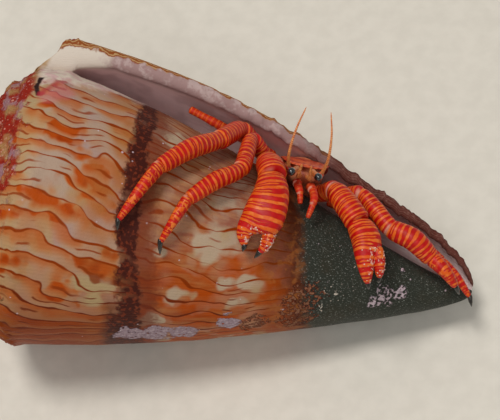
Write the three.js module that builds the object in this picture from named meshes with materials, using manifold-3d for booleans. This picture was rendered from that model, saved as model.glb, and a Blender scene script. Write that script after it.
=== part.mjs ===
// A striped hermit crab in the cone shell it carries, life size, in millimetres.
// The shell lies on its back with its long, narrow opening up, and the crab
// reaches out of the opening and round over the face of the shell.
//
// Every piece is made in the shell's own frame: +X runs from the spire to the
// siphonal end, +Y points at the outer lip, and +Z comes out of the opening.
// x = 0 is the shell's widest place. At the end the whole animal is rolled,
// pitched and lifted, so that a small worn flat on the shell's back stands on
// z = 0, with the origin under the middle of the model.
import * as THREE from "three";
import { mergeVertices } from "three/addons/utils/BufferGeometryUtils.js";
import Module from "manifold-3d";

const wasm = await Module();
wasm.setup();

// ---------------------------------------------------------------- sizes ----

const SIDE_LENGTH = 69; // widest place to the siphonal tip
const LIP_RADIUS = 25.6; // last whorl at the lip, at the widest place
const COIL_RADIUS = 20.5; // the same whorl one full turn earlier
const LIP_FULLNESS = 0.52; // 0.5 would be a parabola, 1 a straight cone
const COIL_FULLNESS = { shoulder: 0.5, tip: 1.25 };
const COLUMELLA_RADIUS = 1.1;

const SHOULDER = { lipX: -2.5, lipRadius: 24.6, startX: -5.4, startRadius: 17.6 };
const SPIRE_SLOPE = 0.58; // fall of the spire towards the shoulder, mm per mm
const SUTURE_STEP = 0.45; // how far each older whorl stands above the next
const WHORL_RATIO = SHOULDER.lipRadius / SHOULDER.startRadius;

const LIP_FLARE = { fromX: -2, toX: 48, height: 2, fall: 6 };

const WALL = { shoulder: 3.1, tip: 1.3, insideShare: 0.62, thinsOver: 45 };
const CAVITY = { topX: -0.5, wideX: 6, endX: 74, depthDegrees: 265, mouthDegrees: 14 };
const NOTCH = { from: [2, 19.9, 0.4], to: [-7, 16.1, 0.9], radius: 1 };

const POSE = { rollDegrees: 30, pitchDegrees: 13.5 };
const FLAT_DEPTH = 0.35; // worn off the back where it stands

const BODY_X = 38.7; // the crab's middle, along the shell
const JOINT_GAP = 0.3;
const END_ROUNDING = 0.5; // how much of a full corner a limb's end takes up

const COLOURS = {
  shell: { color: 0xd9b48c, roughness: 0.45 },
  banded: { color: 0xd8431f, roughness: 0.4 },
  claw: { color: 0x14110f, roughness: 0.3 },
  soft: { color: 0xd97f52, roughness: 0.6 },
  plate: { color: 0xc6502c, roughness: 0.45 },
  stalk: { color: 0xf0a24c, roughness: 0.4 },
  eye: { color: 0x0b0c12, roughness: 0.12 },
};

// ------------------------------------------------------------- geometry ----

const radians = THREE.MathUtils.degToRad;
const lerp = THREE.MathUtils.lerp;
const clamp01 = (value) => THREE.MathUtils.clamp(value, 0, 1);
const steps = (count, from = 0, to = 1) =>
  Array.from({ length: count + 1 }, (_, i) => lerp(from, to, i / count));

const polar = (x, radius, degrees) =>
  new THREE.Vector3(
    x,
    radius * Math.cos(radians(degrees)),
    radius * Math.sin(radians(degrees)),
  );

// Merges equal vertices and drops the triangles that this leaves without area.
function weld(positions, index) {
  const loose = new THREE.BufferGeometry();
  loose.setAttribute("position", new THREE.Float32BufferAttribute(positions, 3));
  loose.setIndex(index);
  const merged = mergeVertices(loose, 1e-3);
  const kept = [];
  const corners = merged.index.array;
  for (let i = 0; i < corners.length; i += 3) {
    const [a, b, c] = corners.subarray(i, i + 3);
    if (a !== b && b !== c && c !== a) kept.push(a, b, c);
  }
  return merged.setIndex(kept);
}

// A closed solid through rings of equally many points. Capped ends close with a
// fan to the ring's middle; open ones are rings that already fold shut.
function loft(rings, capped = true) {
  const around = rings[0].length;
  const positions = rings.flat().flatMap((p) => p.toArray());
  const index = [];
  for (let r = 0; r + 1 < rings.length; r++)
    for (let i = 0; i < around; i++) {
      const a = r * around + i;
      const b = r * around + ((i + 1) % around);
      index.push(a, b, b + around, a, b + around, a + around);
    }
  if (capped)
    for (const [r, flip] of [[0, false], [rings.length - 1, true]]) {
      const middle = positions.length / 3;
      const sum = rings[r].reduce((s, p) => s.add(p), new THREE.Vector3());
      positions.push(...sum.divideScalar(around).toArray());
      for (let i = 0; i < around; i++) {
        const a = r * around + i;
        const b = r * around + ((i + 1) % around);
        if (flip) index.push(a, b, middle);
        else index.push(b, a, middle);
      }
    }
  return facingOut(weld(positions, index));
}

function signedVolume(geometry) {
  const p = geometry.attributes.position;
  const corner = (i) => new THREE.Vector3().fromBufferAttribute(p, geometry.index.getX(i));
  let sixfold = 0;
  for (let i = 0; i < geometry.index.count; i += 3)
    sixfold += corner(i).dot(corner(i + 1).cross(corner(i + 2)));
  return sixfold / 6;
}

function facingOut(geometry) {
  if (signedVolume(geometry) < 0) geometry.index.array.reverse();
  return geometry;
}

function solidOf(geometry) {
  return new wasm.Manifold(
    new wasm.Mesh({
      numProp: 3,
      vertProperties: geometry.attributes.position.array,
      triVerts: Uint32Array.from(geometry.index.array),
    }),
  );
}

function geometryOf(solid) {
  const mesh = solid.getMesh();
  const geometry = new THREE.BufferGeometry();
  geometry.setAttribute("position", new THREE.BufferAttribute(mesh.vertProperties, 3));
  return geometry.setIndex(new THREE.BufferAttribute(mesh.triVerts, 1));
}

function named(name, geometry, finish) {
  const mesh = new THREE.Mesh(
    geometry,
    new THREE.MeshStandardMaterial({ metalness: 0, ...COLOURS[finish] }),
  );
  mesh.name = name;
  return mesh;
}

// ---------------------------------------------------------------- shell ----

// "turn" counts the last whorl: 0 where it starts under the lip, 1 at the lip.
const degreesOf = (turn) => (turn - 1) * 360;
const share = (x) => clamp01(x / SIDE_LENGTH);
const lipRadius = (x) => LIP_RADIUS * (1 - share(x)) ** LIP_FULLNESS;
const coilRadius = (x) => {
  const fullness = lerp(COIL_FULLNESS.shoulder, COIL_FULLNESS.tip, share(x));
  return COIL_RADIUS * (1 - share(x)) ** fullness;
};
// The last few degrees before the lip flare outwards along its middle.
const flareAt = (x, turn) => {
  const along = clamp01((x - LIP_FLARE.fromX) / (LIP_FLARE.toX - LIP_FLARE.fromX));
  return LIP_FLARE.height * Math.sin(Math.PI * along) ** 0.8 * clamp01(turn) ** LIP_FLARE.fall;
};
const whorlRadius = (x, turn) =>
  lerp(coilRadius(x), lipRadius(x), turn) + flareAt(x, turn);
const wallAt = (x, degrees) => {
  const inside = clamp01(-degrees / WALL.thinsOver);
  return lerp(WALL.shoulder, WALL.tip, share(x)) * lerp(1, WALL.insideShare, inside);
};

// The spire as a height over its radius, stepped once for each older whorl.
function spireX(radius, turn) {
  const slope = SHOULDER.lipX - SPIRE_SLOPE * (SHOULDER.lipRadius - radius);
  if (radius < 1) return slope;
  const edge = SHOULDER.lipRadius * WHORL_RATIO ** (turn - 1);
  const whorlsIn = Math.log(edge / radius) / Math.log(WHORL_RATIO);
  const across = whorlsIn - Math.floor(whorlsIn + 1e-6);
  return slope + SUTURE_STEP * (radius / SHOULDER.lipRadius) * across;
}

function outerShell() {
  const turns = steps(36);
  const ring = (radius, x) => turns.map((t) => polar(x(t), radius(t), degreesOf(t)));
  const shoulderX = (t) => lerp(SHOULDER.startX, SHOULDER.lipX, t);
  const shoulderRadius = (t) => lerp(SHOULDER.startRadius, SHOULDER.lipRadius, t);
  const spire = steps(6, 0.06, 1).map((s) => {
    const radius = () => s * SHOULDER.startRadius;
    return ring(radius, (t) => spireX(radius(), t));
  });
  const ramp = [0.5, 1].map((s) => {
    const radius = (t) => lerp(SHOULDER.startRadius, shoulderRadius(t), s);
    return ring(radius, (t) => lerp(spireX(radius(t), t), shoulderX(t), s));
  });
  const shoulder = [30, 60].map((degrees) =>
    ring(
      (t) => lerp(shoulderRadius(t), whorlRadius(0, t), Math.sin(radians(degrees)) ** (1.5 - t / 2)),
      (t) => shoulderX(t) * Math.cos(radians(degrees)),
    ),
  );
  const side = steps(13).map((s) => {
    const x = SIDE_LENGTH * 0.995 * Math.sin((s * Math.PI) / 2) ** 1.1;
    return ring((t) => whorlRadius(x, t), () => x);
  });
  return loft([...spire, ...ramp, ...shoulder, ...side]);
}

// Radii of the hollow inside the last whorl, at an angle back from the lip.
function hollowAt(x, degrees) {
  const turn = 1 + degrees / 360;
  const open = clamp01((x - CAVITY.topX) / (CAVITY.wideX - CAVITY.topX)) ** 0.6;
  const outer = whorlRadius(x, Math.min(turn, 1)) - wallAt(x, degrees);
  const inner = Math.max(whorlRadius(x, turn - 1) - 0.04, COLUMELLA_RADIUS * (1 - share(x)));
  return { inner, outer: lerp(inner, Math.max(outer, inner + 0.4), open) };
}

function hollow() {
  const angles = steps(26, CAVITY.mouthDegrees, -CAVITY.depthDegrees);
  const rings = steps(12).map((s) => {
    const x = lerp(CAVITY.topX, CAVITY.endX, s);
    const radii = angles.map((degrees) => hollowAt(x, degrees));
    const wall = (key) => radii.map((r, i) => polar(x, r[key], angles[i]));
    return [...wall("outer"), ...wall("inner").reverse()];
  });
  // Past the siphonal tip the hollow only has to run out into the open.
  const last = rings.at(-1);
  const end = last.map((p, i) =>
    p.clone().add(last[last.length - 1 - i]).multiplyScalar(0.5).setX(CAVITY.endX + 1),
  );
  return loft([...rings, end], false);
}

// The world's up, as the shell's frame sees it.
const toWorld = new THREE.Quaternion()
  .setFromAxisAngle(new THREE.Vector3(0, 1, 0), radians(POSE.pitchDegrees))
  .multiply(
    new THREE.Quaternion().setFromAxisAngle(
      new THREE.Vector3(1, 0, 0),
      radians(POSE.rollDegrees),
    ),
  );
const shellUp = new THREE.Vector3(0, 0, 1).applyQuaternion(toWorld.clone().invert());

function makeShell() {
  const outer = outerShell();
  const p = outer.attributes.position;
  const heights = Array.from({ length: p.count }, (_, i) =>
    new THREE.Vector3().fromBufferAttribute(p, i).dot(shellUp),
  );
  const lowest = Math.min(...heights);
  const notch = segment({
    path: [NOTCH.from, NOTCH.to],
    wide: () => NOTCH.radius,
    deep: () => NOTCH.radius,
    sides: 8,
    rings: 5,
  });
  const solid = solidOf(outer)
    .subtract(solidOf(hollow()))
    .subtract(solidOf(notch))
    .trimByPlane(shellUp.toArray(), lowest + FLAT_DEPTH);
  return named("shell", geometryOf(solid), "shell");
}

// ---------------------------------------------------------------- limbs ----

const point = (coordinates) => new THREE.Vector3(...coordinates);

// A rounded segment along a curve. Each ring is an ellipse: "wide" across the
// given side direction, "deep" the other way, both half sizes along the length.
function segment({ path, wide, deep, side = [1, 0, 0], square = 6, sides = 10, rings = 8 }) {
  const curve = new THREE.CatmullRomCurve3(path.map(point), false, "centripetal");
  const loops = [];
  for (let k = 1; k < rings; k++) {
    const t = 0.5 - 0.5 * Math.cos((Math.PI * k) / rings);
    const closing = Math.sqrt(1 - Math.abs(2 * t - 1) ** square);
    const along = curve.getTangentAt(t);
    const across = point(side).addScaledVector(along, -point(side).dot(along)).normalize();
    const up = along.clone().cross(across);
    const middle = curve.getPointAt(t);
    loops.push(
      Array.from({ length: sides }, (_, i) => {
        const angle = (2 * Math.PI * i) / sides;
        return middle
          .clone()
          .addScaledVector(across, Math.cos(angle) * wide(t) * closing)
          .addScaledVector(up, Math.sin(angle) * deep(t) * closing);
      }),
    );
  }
  const tip = (t, loop) => loop.map(() => curve.getPointAt(t));
  return loft([tip(0, loops[0]), ...loops, tip(1, loops[0])], false);
}

// A round taper with a little swelling at a third of its length.
const taper = (from, to, swell = 0) => (t) =>
  lerp(from, to, t) * (1 + swell * Math.sin(Math.PI * Math.min(1, t * 1.4)));

const direction = (from, to) => point(to).sub(point(from)).normalize();
const movedAlong = (from, to, distance) =>
  point(from).addScaledVector(direction(from, to), distance).toArray();

// The middle of a length, pushed out from the shell's axis.
function arched(from, to, height) {
  const middle = point(from).lerp(point(to), 0.5);
  const outward = middle.clone().setX(0).normalize();
  return middle.addScaledVector(outward, height).toArray();
}

// Room to leave at a bent joint so that two round ends of this radius clear.
function jointRoom(before, joint, after, radius) {
  const bend = direction(before, joint).angleTo(direction(joint, after));
  return JOINT_GAP / 2 + radius * Math.tan(bend / 2) * END_ROUNDING;
}

// The segments of one limb between its joints, each stopping short of them.
function limb(prefix, joints, parts, side) {
  return parts.map(({ part, radius, end, deep = 1, swell = 0, bulge = 0, finish = "banded" }, i) => {
    const [from, to] = [joints[i], joints[i + 1]];
    const before = i > 0 ? jointRoom(joints[i - 1], from, to, radius) : 0;
    const after =
      i + 2 < joints.length ? jointRoom(from, to, joints[i + 2], end) : 0;
    const start = movedAlong(from, to, before);
    const stop = movedAlong(to, from, after);
    const middle = arched(start, stop, bulge);
    const geometry = segment({
      path: [start, middle, stop],
      wide: taper(radius, end, swell),
      deep: taper(radius * deep, end * deep, swell),
      side,
      square: 9,
      rings: 7,
    });
    return named(`${prefix}_${part}`, geometry, finish);
  });
}

// ----------------------------------------------------------------- legs ----

// Joints of each walking leg: hip, knee, wrist, ankle and the root of the tip.
// "girth" scales the leg's thickness.
const WALKING_LEGS = {
  leg2_right: {
    girth: 0.88,
    joints: [[34, 13, 1], [29.8, 16, 5.6], [29, 11, 12.6], [22.4, 4.9, 18.7], [19.8, -2.1, 18.9]],
    tip: [20.1, -3.9, 18],
  },
  leg3_right: {
    girth: 1,
    joints: [[33.3, 13.6, -2.4], [27.8, 17.3, 3], [24.9, 14.8, 9.9], [17.3, 8.7, 18.7], [13.2, -0.2, 20.6]],
    tip: [13.4, -1.7, 20],
  },
  leg2_left: {
    girth: 1.2,
    joints: [[44, 10.2, 0.4], [48.2, 11.2, 3.2], [53.6, 7.1, 5.9], [60.9, 3.7, 6.4], [65.3, 0.3, 6.6]],
    tip: [66.2, -0.8, 5.6],
  },
  leg3_left: {
    girth: 0.86,
    joints: [[44.6, 9.9, -2.6], [50, 9.8, -0.8], [56.6, 7.1, 1.4], [63.1, 3.8, 2.6], [68.2, -0.9, 3.6]],
    tip: [68.8, -2.3, 3.4],
  },
};
const LEG_PARTS = [
  { part: "merus", radius: 1.3, end: 1.4 },
  { part: "carpus", radius: 1.4, end: 1.5, deep: 1.05, bulge: 0.2 },
  { part: "propodus", radius: 1.55, end: 1.2, deep: 1.05, bulge: 1 },
  { part: "dactyl", radius: 1.05, end: 0.45, deep: 1.1, swell: 0.12, bulge: 0.9 },
];
const CLAW = { radius: 0.4, end: 0.26 };

function walkingLeg(name, { girth, joints, tip }) {
  const root = joints.at(-1);
  const claw = segment({
    path: [movedAlong(root, tip, JOINT_GAP / 2), tip],
    wide: taper(CLAW.radius, CLAW.end),
    deep: taper(CLAW.radius, CLAW.end),
    sides: 8,
    rings: 5,
  });
  const parts = LEG_PARTS.map((part) => ({
    ...part,
    radius: part.radius * girth,
    end: part.end * (part.part === "dactyl" ? 1 : girth),
  }));
  return [...limb(name, joints, parts, [1, 0.6, 0]), named(`${name}_claw`, claw, "claw")];
}

// --------------------------------------------------------------- pincers ----

// Arm joints, where the two fingers part, and the black end of each finger.
// "across" points from the fixed finger to the moving one; "palm" holds the
// half widths at the wrist and at the knuckles.
const PINCERS = {
  pincer_right: {
    joints: [[35.2, 12, 3.4], [32.9, 14.6, 7.4], [34, 11, 12.1]],
    fork: [34.3, 3, 16.2],
    across: [1, 0.22, 0.1],
    palm: [2.3, 3.4],
    fixed: { root: [32, 0, 16], tip: [31.9, -1, 15.7] },
    moving: { root: [34.4, -0.5, 15.7], tip: [33.8, -1.6, 15.4] },
  },
  pincer_left: {
    joints: [[41.4, 9.9, 3.2], [43.8, 10.9, 6.2], [48.3, 6.8, 10]],
    fork: [51, 1.6, 12.6],
    across: [0.95, 0.2, -0.25],
    palm: [2.05, 2.5],
    fixed: { root: [51.4, -1.8, 12.1], tip: [51.8, -2.7, 11.8] },
    moving: { root: [53, -0.6, 11.9], tip: [53, -1.5, 11.6] },
  },
};
const ARM_PARTS = [
  { part: "merus", radius: 1.4, end: 1.7 },
  { part: "carpus", radius: 1.85, end: 2.05, deep: 0.9, bulge: 0.3 },
];
const PALM_DEPTH = { wrist: 0.85, knuckle: 0.68 };
const FINGER = { root: 0.44, end: 0.2, deep: 0.95 }; // shares of the palm's width
const FINGER_TIP = { radius: 0.46, end: 0.27 };

function finger(from, to, side, width) {
  return segment({
    path: [from, to],
    wide: taper(FINGER.root * width, FINGER.end * width),
    deep: taper(FINGER.root * width * FINGER.deep, FINGER.end * width),
    side,
    rings: 7,
  });
}

function fingerTip(root, tip) {
  return segment({
    path: [movedAlong(root, tip, JOINT_GAP / 2), tip],
    wide: taper(FINGER_TIP.radius, FINGER_TIP.end),
    deep: taper(FINGER_TIP.radius, FINGER_TIP.end),
    sides: 8,
    rings: 5,
  });
}

function pincer(name, { joints, fork, across, palm, fixed, moving }) {
  const wrist = joints.at(-1);
  const room = jointRoom(joints.at(-2), wrist, fork, palm[0] * 0.8);
  const hand = (extra, square) =>
    solidOf(
      segment({
        path: [movedAlong(wrist, fork, room), arched(wrist, fork, 0.5), fork],
        wide: (t) => taper(...palm)(t) + extra,
        deep: (t) => taper(palm[0] * PALM_DEPTH.wrist, palm[1] * PALM_DEPTH.knuckle)(t) + extra,
        side: across,
        square,
        sides: 14,
      }),
    );
  // Each finger grows from its own side of the palm.
  const knuckle = point(fork).lerp(point(wrist), 0.3);
  const beside = (share) =>
    knuckle.clone().addScaledVector(point(across).normalize(), share * palm[1]).toArray();
  const stub = ({ root, tip }) => movedAlong(root, tip, -JOINT_GAP / 2);
  const fixedFinger = solidOf(finger(beside(-0.52), stub(fixed), across, palm[1]));
  const movingFinger = solidOf(finger(beside(0.5), stub(moving), across, palm[1]));
  const whole = hand(0, 5).add(fixedFinger);
  const clearance = hand(JOINT_GAP, 5.4);
  return [
    ...limb(name, [...joints, fork], ARM_PARTS, across),
    named(`${name}_palm`, geometryOf(whole), "banded"),
    named(`${name}_finger`, geometryOf(movingFinger.subtract(clearance)), "banded"),
    named(`${name}_palm_tip`, fingerTip(fixed.root, fixed.tip), "claw"),
    named(`${name}_finger_tip`, fingerTip(moving.root, moving.tip), "claw"),
  ];
}

// ------------------------------------------------------------------ body ----

// A place inside the shell's hollow: 0 on the inner wall, 1 on the outer.
function inHollow(x, degrees, fraction) {
  const { inner, outer } = hollowAt(x, degrees);
  return polar(x, lerp(inner, outer, fraction), degrees).toArray();
}

const HOLLOW_SLOPE = -0.42; // how the hollow falls towards the siphonal end

// A soft length that lies in the hollow, between two angles back from the lip.
function lying({ from, to, x, fraction, wide, deep, square }) {
  const path = steps(4).map((s) => inHollow(lerp(...x, s), lerp(from, to, s), fraction));
  const mean = radians((from + to) / 2);
  const side = [1, HOLLOW_SLOPE * Math.cos(mean), HOLLOW_SLOPE * Math.sin(mean)];
  return segment({ path, wide, deep, side, square, sides: 12, rings: 7 });
}

// Each length of the body: angles back from the lip, places along the shell,
// where it lies between the walls, and its half sizes at both ends.
const BODY = {
  head: { from: 19, to: -4, x: [38.7, 38.7], fraction: 0.4, wide: [2.6, 3.9], deep: [1.5, 1.55] },
  shield: { from: 22, to: -22, x: [38.7, 38.7], fraction: 0.83, wide: [3.5, 4.3], deep: [0.42, 0.45] },
  thorax: { from: -6, to: -34, x: [38.7, 37.7], fraction: 0.4, wide: [4.1, 4], deep: [1.5, 1.5] },
  abdomen_front: {
    from: -36.5, to: -92, x: [37.7, 33], fraction: 0.46, wide: [3.9, 4.3], deep: [1.6, 1.7],
  },
  abdomen_rear: {
    from: -94.5, to: -160, x: [33, 24], fraction: 0.46, wide: [4.1, 2.4], deep: [1.5, 1.1],
  },
  tail_fan: {
    from: -162.5, to: -176, x: [23.6, 21.5], fraction: 0.46, wide: [1.9, 1.5], deep: [0.9, 0.6],
  },
};
const HARD_PARTS = ["head", "shield", "tail_fan"];

function body() {
  return Object.entries(BODY).map(([name, size]) => {
    const hard = HARD_PARTS.includes(name);
    const piece = lying({
      ...size,
      wide: taper(...size.wide),
      deep: taper(...size.deep),
      square: hard ? 3 : 5,
    });
    return named(name, piece, hard ? "plate" : "soft");
  });
}

// ------------------------------------------------------ head's own limbs ----

const EYESTALK = { root: [1.15, 13.15, 6.1], end: [1.95, 12.4, 11.1], radius: 0.48 };
const EYE = { radius: 0.62, length: 1.3 };
const ANTENNULE = { root: [0.5, 12.2, 6.3], knee: [0.9, 11.9, 9.4], tip: [0.7, 13.8, 12] };
const ANTENNA = { root: [2.3, 12.4, 5.4], end: [2.6, 13, 8.2] };
const WHIP = [[2.65, 13.25, 8.6], [3, 15.2, 11.4], [2.7, 18.8, 12.9], [1.9, 22.3, 12.2]];
const MAXILLIPEDS = {
  left: [[39.9, 10.6, 6], [40.2, 10.6, 8.1], [40.9, 9, 10.2], [40.5, 5.9, 11.2]],
  right: [[38, 11, 6], [38, 10.7, 8], [38.6, 9.5, 9.2], [39, 7.8, 9.6]],
};
const SMALL_LEGS = {
  leg4_right: {
    path: [[33.8, 14.5, -5], [29.3, 15.9, -3], [23.8, 17.6, -1.2], [18.9, 19, -0.5]],
    radius: [0.9, 0.6],
  },
  leg4_left: {
    path: [[43.7, 9.3, -5.2], [47.5, 8.6, -3.9], [51.6, 7.2, -3.1]],
    radius: [0.75, 0.5],
  },
  leg5_right: {
    path: [[33.6, 11.7, -7], [31, 12.4, -7], [28.6, 13.2, -7.6]],
    radius: [0.5, 0.4],
  },
  leg5_left: {
    path: [[42.7, 7.5, -8], [45.4, 6.8, -7.4], [47.2, 6.2, -7.2]],
    radius: [0.5, 0.4],
  },
};

const mirrored = (coordinates, hand) => [BODY_X + hand * coordinates[0], ...coordinates.slice(1)];

function headLimbs() {
  const thread = (path, from, to, sides, rings) =>
    segment({ path, wide: taper(from, to), deep: taper(from, to), square: 8, sides, rings });
  return [["left", 1], ["right", -1]].flatMap(([side, hand]) => {
    const at = (coordinates) => mirrored(coordinates, hand);
    const [root, end] = [at(EYESTALK.root), at(EYESTALK.end)];
    const eye = [movedAlong(end, root, -JOINT_GAP), movedAlong(end, root, -JOINT_GAP - EYE.length)];
    const antennule = [ANTENNULE.root, ANTENNULE.knee, ANTENNULE.tip].map(at);
    const antenna = [ANTENNA.root, ANTENNA.end].map(at);
    const ball = segment({
      path: eye,
      wide: () => EYE.radius,
      deep: () => EYE.radius,
      square: 2.2,
      sides: 9,
      rings: 6,
    });
    return [
      named(`eyestalk_${side}`, thread([root, end], EYESTALK.radius, EYESTALK.radius, 8, 5), "stalk"),
      named(`eye_${side}`, ball, "eye"),
      named(`antennule_${side}`, thread(antennule, 0.36, 0.26, 8, 7), "stalk"),
      named(`antenna_${side}`, thread(antenna, 0.6, 0.42, 8, 5), "plate"),
      named(`antenna_whip_${side}`, thread(WHIP.map(at), 0.3, 0.26, 6, 11), "stalk"),
      named(`maxilliped_${side}`, thread(MAXILLIPEDS[side], 0.72, 0.42, 8, 8), "banded"),
    ];
  });
}

function smallLegs() {
  return Object.entries(SMALL_LEGS).map(([name, { path, radius }]) => {
    const girth = taper(...radius);
    return named(name, segment({ path, wide: girth, deep: girth, sides: 8 }), "banded");
  });
}

// ------------------------------------------------------------- the whole ----

const animal = new THREE.Group();
animal.quaternion.copy(toWorld);
animal.add(
  makeShell(),
  ...body(),
  ...headLimbs(),
  ...Object.entries(WALKING_LEGS).flatMap(([name, leg]) => walkingLeg(name, leg)),
  ...Object.entries(PINCERS).flatMap(([name, arm]) => pincer(name, arm)),
  ...smallLegs(),
);

const model = new THREE.Group();
model.add(animal);
model.updateMatrixWorld(true);
const bounds = new THREE.Box3().setFromObject(model, true);
const middle = bounds.getCenter(new THREE.Vector3());
animal.position.set(-middle.x, -middle.y, -bounds.min.z);

export default model;
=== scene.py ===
"""A striped hermit crab in the cone shell it carries, dressed for a museum case.

Every length of the animal is given in millimetres, in the shell's own frame: +X
runs from the spire to the siphonal end, +Y points at the outer lip and +Z comes
out of the opening. Pose turns that frame into the model's, in metres.
"""

from __future__ import annotations

import sys
import logging
import math
from collections.abc import Callable, Sequence
from dataclasses import dataclass, field
from enum import Enum

import bpy
import numpy as np
from mathutils import Matrix, Vector, noise


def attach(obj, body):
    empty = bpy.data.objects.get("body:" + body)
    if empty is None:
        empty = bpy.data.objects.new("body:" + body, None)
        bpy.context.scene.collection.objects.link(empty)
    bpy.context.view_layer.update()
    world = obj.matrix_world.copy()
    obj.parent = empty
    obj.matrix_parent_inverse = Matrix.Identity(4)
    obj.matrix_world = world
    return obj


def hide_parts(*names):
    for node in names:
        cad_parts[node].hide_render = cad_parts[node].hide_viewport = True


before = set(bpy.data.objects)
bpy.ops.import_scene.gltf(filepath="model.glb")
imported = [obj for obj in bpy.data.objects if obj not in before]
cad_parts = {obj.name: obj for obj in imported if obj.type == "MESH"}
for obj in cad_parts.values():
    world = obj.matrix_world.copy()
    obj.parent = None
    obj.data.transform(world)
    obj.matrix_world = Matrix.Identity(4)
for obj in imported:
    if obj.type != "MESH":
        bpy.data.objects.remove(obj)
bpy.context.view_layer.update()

MM = 0.001

log = logging.getLogger("hermit_crab")

Colour = tuple[float, float, float]
Point = tuple[float, float, float]
Array = np.ndarray
Profile = list[tuple[float, float]]


# ------------------------------------------------------------------ frames ----


@dataclass(frozen=True)
class Pose:
    """How the shell's own frame lies in the model's frame."""

    roll_degrees: float = 30.0
    pitch_degrees: float = 13.5
    origin_mm: Point = (-25.7758, -1.3867, 23.5515)

    def turn(self) -> Matrix:
        """The rotation alone: roll about the shell's axis, then pitch it down."""
        pitch = Matrix.Rotation(math.radians(self.pitch_degrees), 3, "Y")
        return pitch @ Matrix.Rotation(math.radians(self.roll_degrees), 3, "X")

    def place(self, points: Array) -> Array:
        """Moves points from the shell's frame to the model's.

        Args:
            points: An (n, 3) array in millimetres.

        Returns:
            The same points in metres, in the model's frame.
        """
        return (points @ np.array(self.turn()).T + np.array(self.origin_mm)) * MM

    def direction(self, vector: Point) -> Vector:
        """A direction of the shell's frame, in the model's frame."""
        return self.turn() @ Vector(vector)


POSE = Pose()


class Slot(Enum):
    """The record's material slots."""

    SHELL = "shell"
    LIMB = "limb"
    CLAW = "claw"
    SOFT = "soft"
    PLATE = "plate"
    STALK = "stalk"
    EYE = "eye"


class Hand(Enum):
    """Which side of the crab, as a sign along the shell's axis."""

    LEFT = 1
    RIGHT = -1


def lerp(a, b, t):
    """The value a share t of the way from a to b, for numbers or arrays."""
    return a + (b - a) * t


def smooth(low: float, high: float, value: Array) -> Array:
    """A smooth step from 0 at low to 1 at high."""
    t = np.clip((value - low) / (high - low), 0.0, 1.0)
    return t * t * (3.0 - 2.0 * t)


def hex_colour(code: str) -> Colour:
    """A linear colour from six hexadecimal digits."""
    channels = [int(code[i : i + 2], 16) / 255.0 for i in (0, 2, 4)]
    return tuple(c / 12.92 if c <= 0.04045 else ((c + 0.055) / 1.055) ** 2.4 for c in channels)


def lumps(points: Array, size: float, octaves: int = 3) -> Array:
    """Fractal noise at each point.

    Args:
        points: An (n, 3) array in millimetres.
        size: The width of the largest lumps, in millimetres.
        octaves: How many finer layers are added.

    Returns:
        One number for each point, mostly between -1 and 1.
    """
    return np.array([noise.fractal(Vector(p), 0.9, 2.0, octaves) for p in points / size])


# ------------------------------------------------------------- mesh making ----


def select_only(piece: bpy.types.Object) -> None:
    """Makes one object the only selected one, and the active one."""
    bpy.ops.object.select_all(action="DESELECT")
    piece.select_set(True)
    bpy.context.view_layer.objects.active = piece


def corner_values(mesh: bpy.types.Mesh, per_vertex: Array) -> Array:
    """Spreads a value for each vertex over the corners of the faces."""
    vertex = np.empty(len(mesh.loops), np.int32)
    mesh.loops.foreach_get("vertex_index", vertex)
    return per_vertex[vertex]


@dataclass
class Surface:
    """What a wrapped grid is made of: places, pattern coordinates and masks."""

    points: Array
    pattern: Array
    masks: dict[str, Array] = field(default_factory=dict)


def wrapped_grid(
    name: str, columns: int, rows: int, shape: Callable[[Array, Array], Surface]
) -> bpy.types.Object:
    """Wraps a grid round a shape and sews its seam and its poles shut.

    Args:
        name: The new object's name.
        columns: Faces round the shape.
        rows: Faces along the shape.
        shape: Gives the surface for shares (round, along) of the grid.

    Returns:
        The new object, smooth, with its pattern coordinates as its UV map.
    """
    bpy.ops.object.select_all(action="DESELECT")
    bpy.ops.mesh.primitive_grid_add(x_subdivisions=columns, y_subdivisions=rows, size=2.0)
    piece = bpy.context.object
    piece.name = name
    mesh = piece.data
    mesh.name = name
    flat = np.empty(len(mesh.vertices) * 3, np.float32)
    mesh.vertices.foreach_get("co", flat)
    shares = (flat.reshape(-1, 3)[:, :2].astype(float) + 1.0) / 2.0
    made = shape(shares[:, 0], shares[:, 1])
    mesh.vertices.foreach_set("co", POSE.place(made.points).astype(np.float32).ravel())
    uv = corner_values(mesh, made.pattern).astype(np.float32)
    mesh.uv_layers[0].name = "Growth"
    mesh.uv_layers[0].uv.foreach_set("vector", uv.ravel())
    for mask, values in made.masks.items():
        attribute = mesh.attributes.new(mask, "FLOAT", "POINT")
        attribute.data.foreach_set("value", values.astype(np.float32))
    mesh.update()
    sew(piece)
    return piece


def sew(piece: bpy.types.Object, reach_mm: float = 0.002) -> None:
    """Merges the vertices that meet, turns every face outwards and smooths it."""
    select_only(piece)
    bpy.ops.object.mode_set(mode="EDIT")
    bpy.ops.mesh.select_all(action="SELECT")
    bpy.ops.mesh.remove_doubles(threshold=reach_mm * MM)
    bpy.ops.mesh.normals_make_consistent(inside=False)
    bpy.ops.object.mode_set(mode="OBJECT")
    bpy.ops.object.shade_smooth()


def join(name: str, pieces: Sequence[bpy.types.Object]) -> bpy.types.Object:
    """Joins several objects into one and names it."""
    bpy.ops.object.select_all(action="DESELECT")
    for piece in pieces:
        piece.select_set(True)
    bpy.context.view_layer.objects.active = pieces[0]
    bpy.ops.object.join()
    joined = bpy.context.object
    joined.name = name
    joined.data.name = name
    return joined


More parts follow.
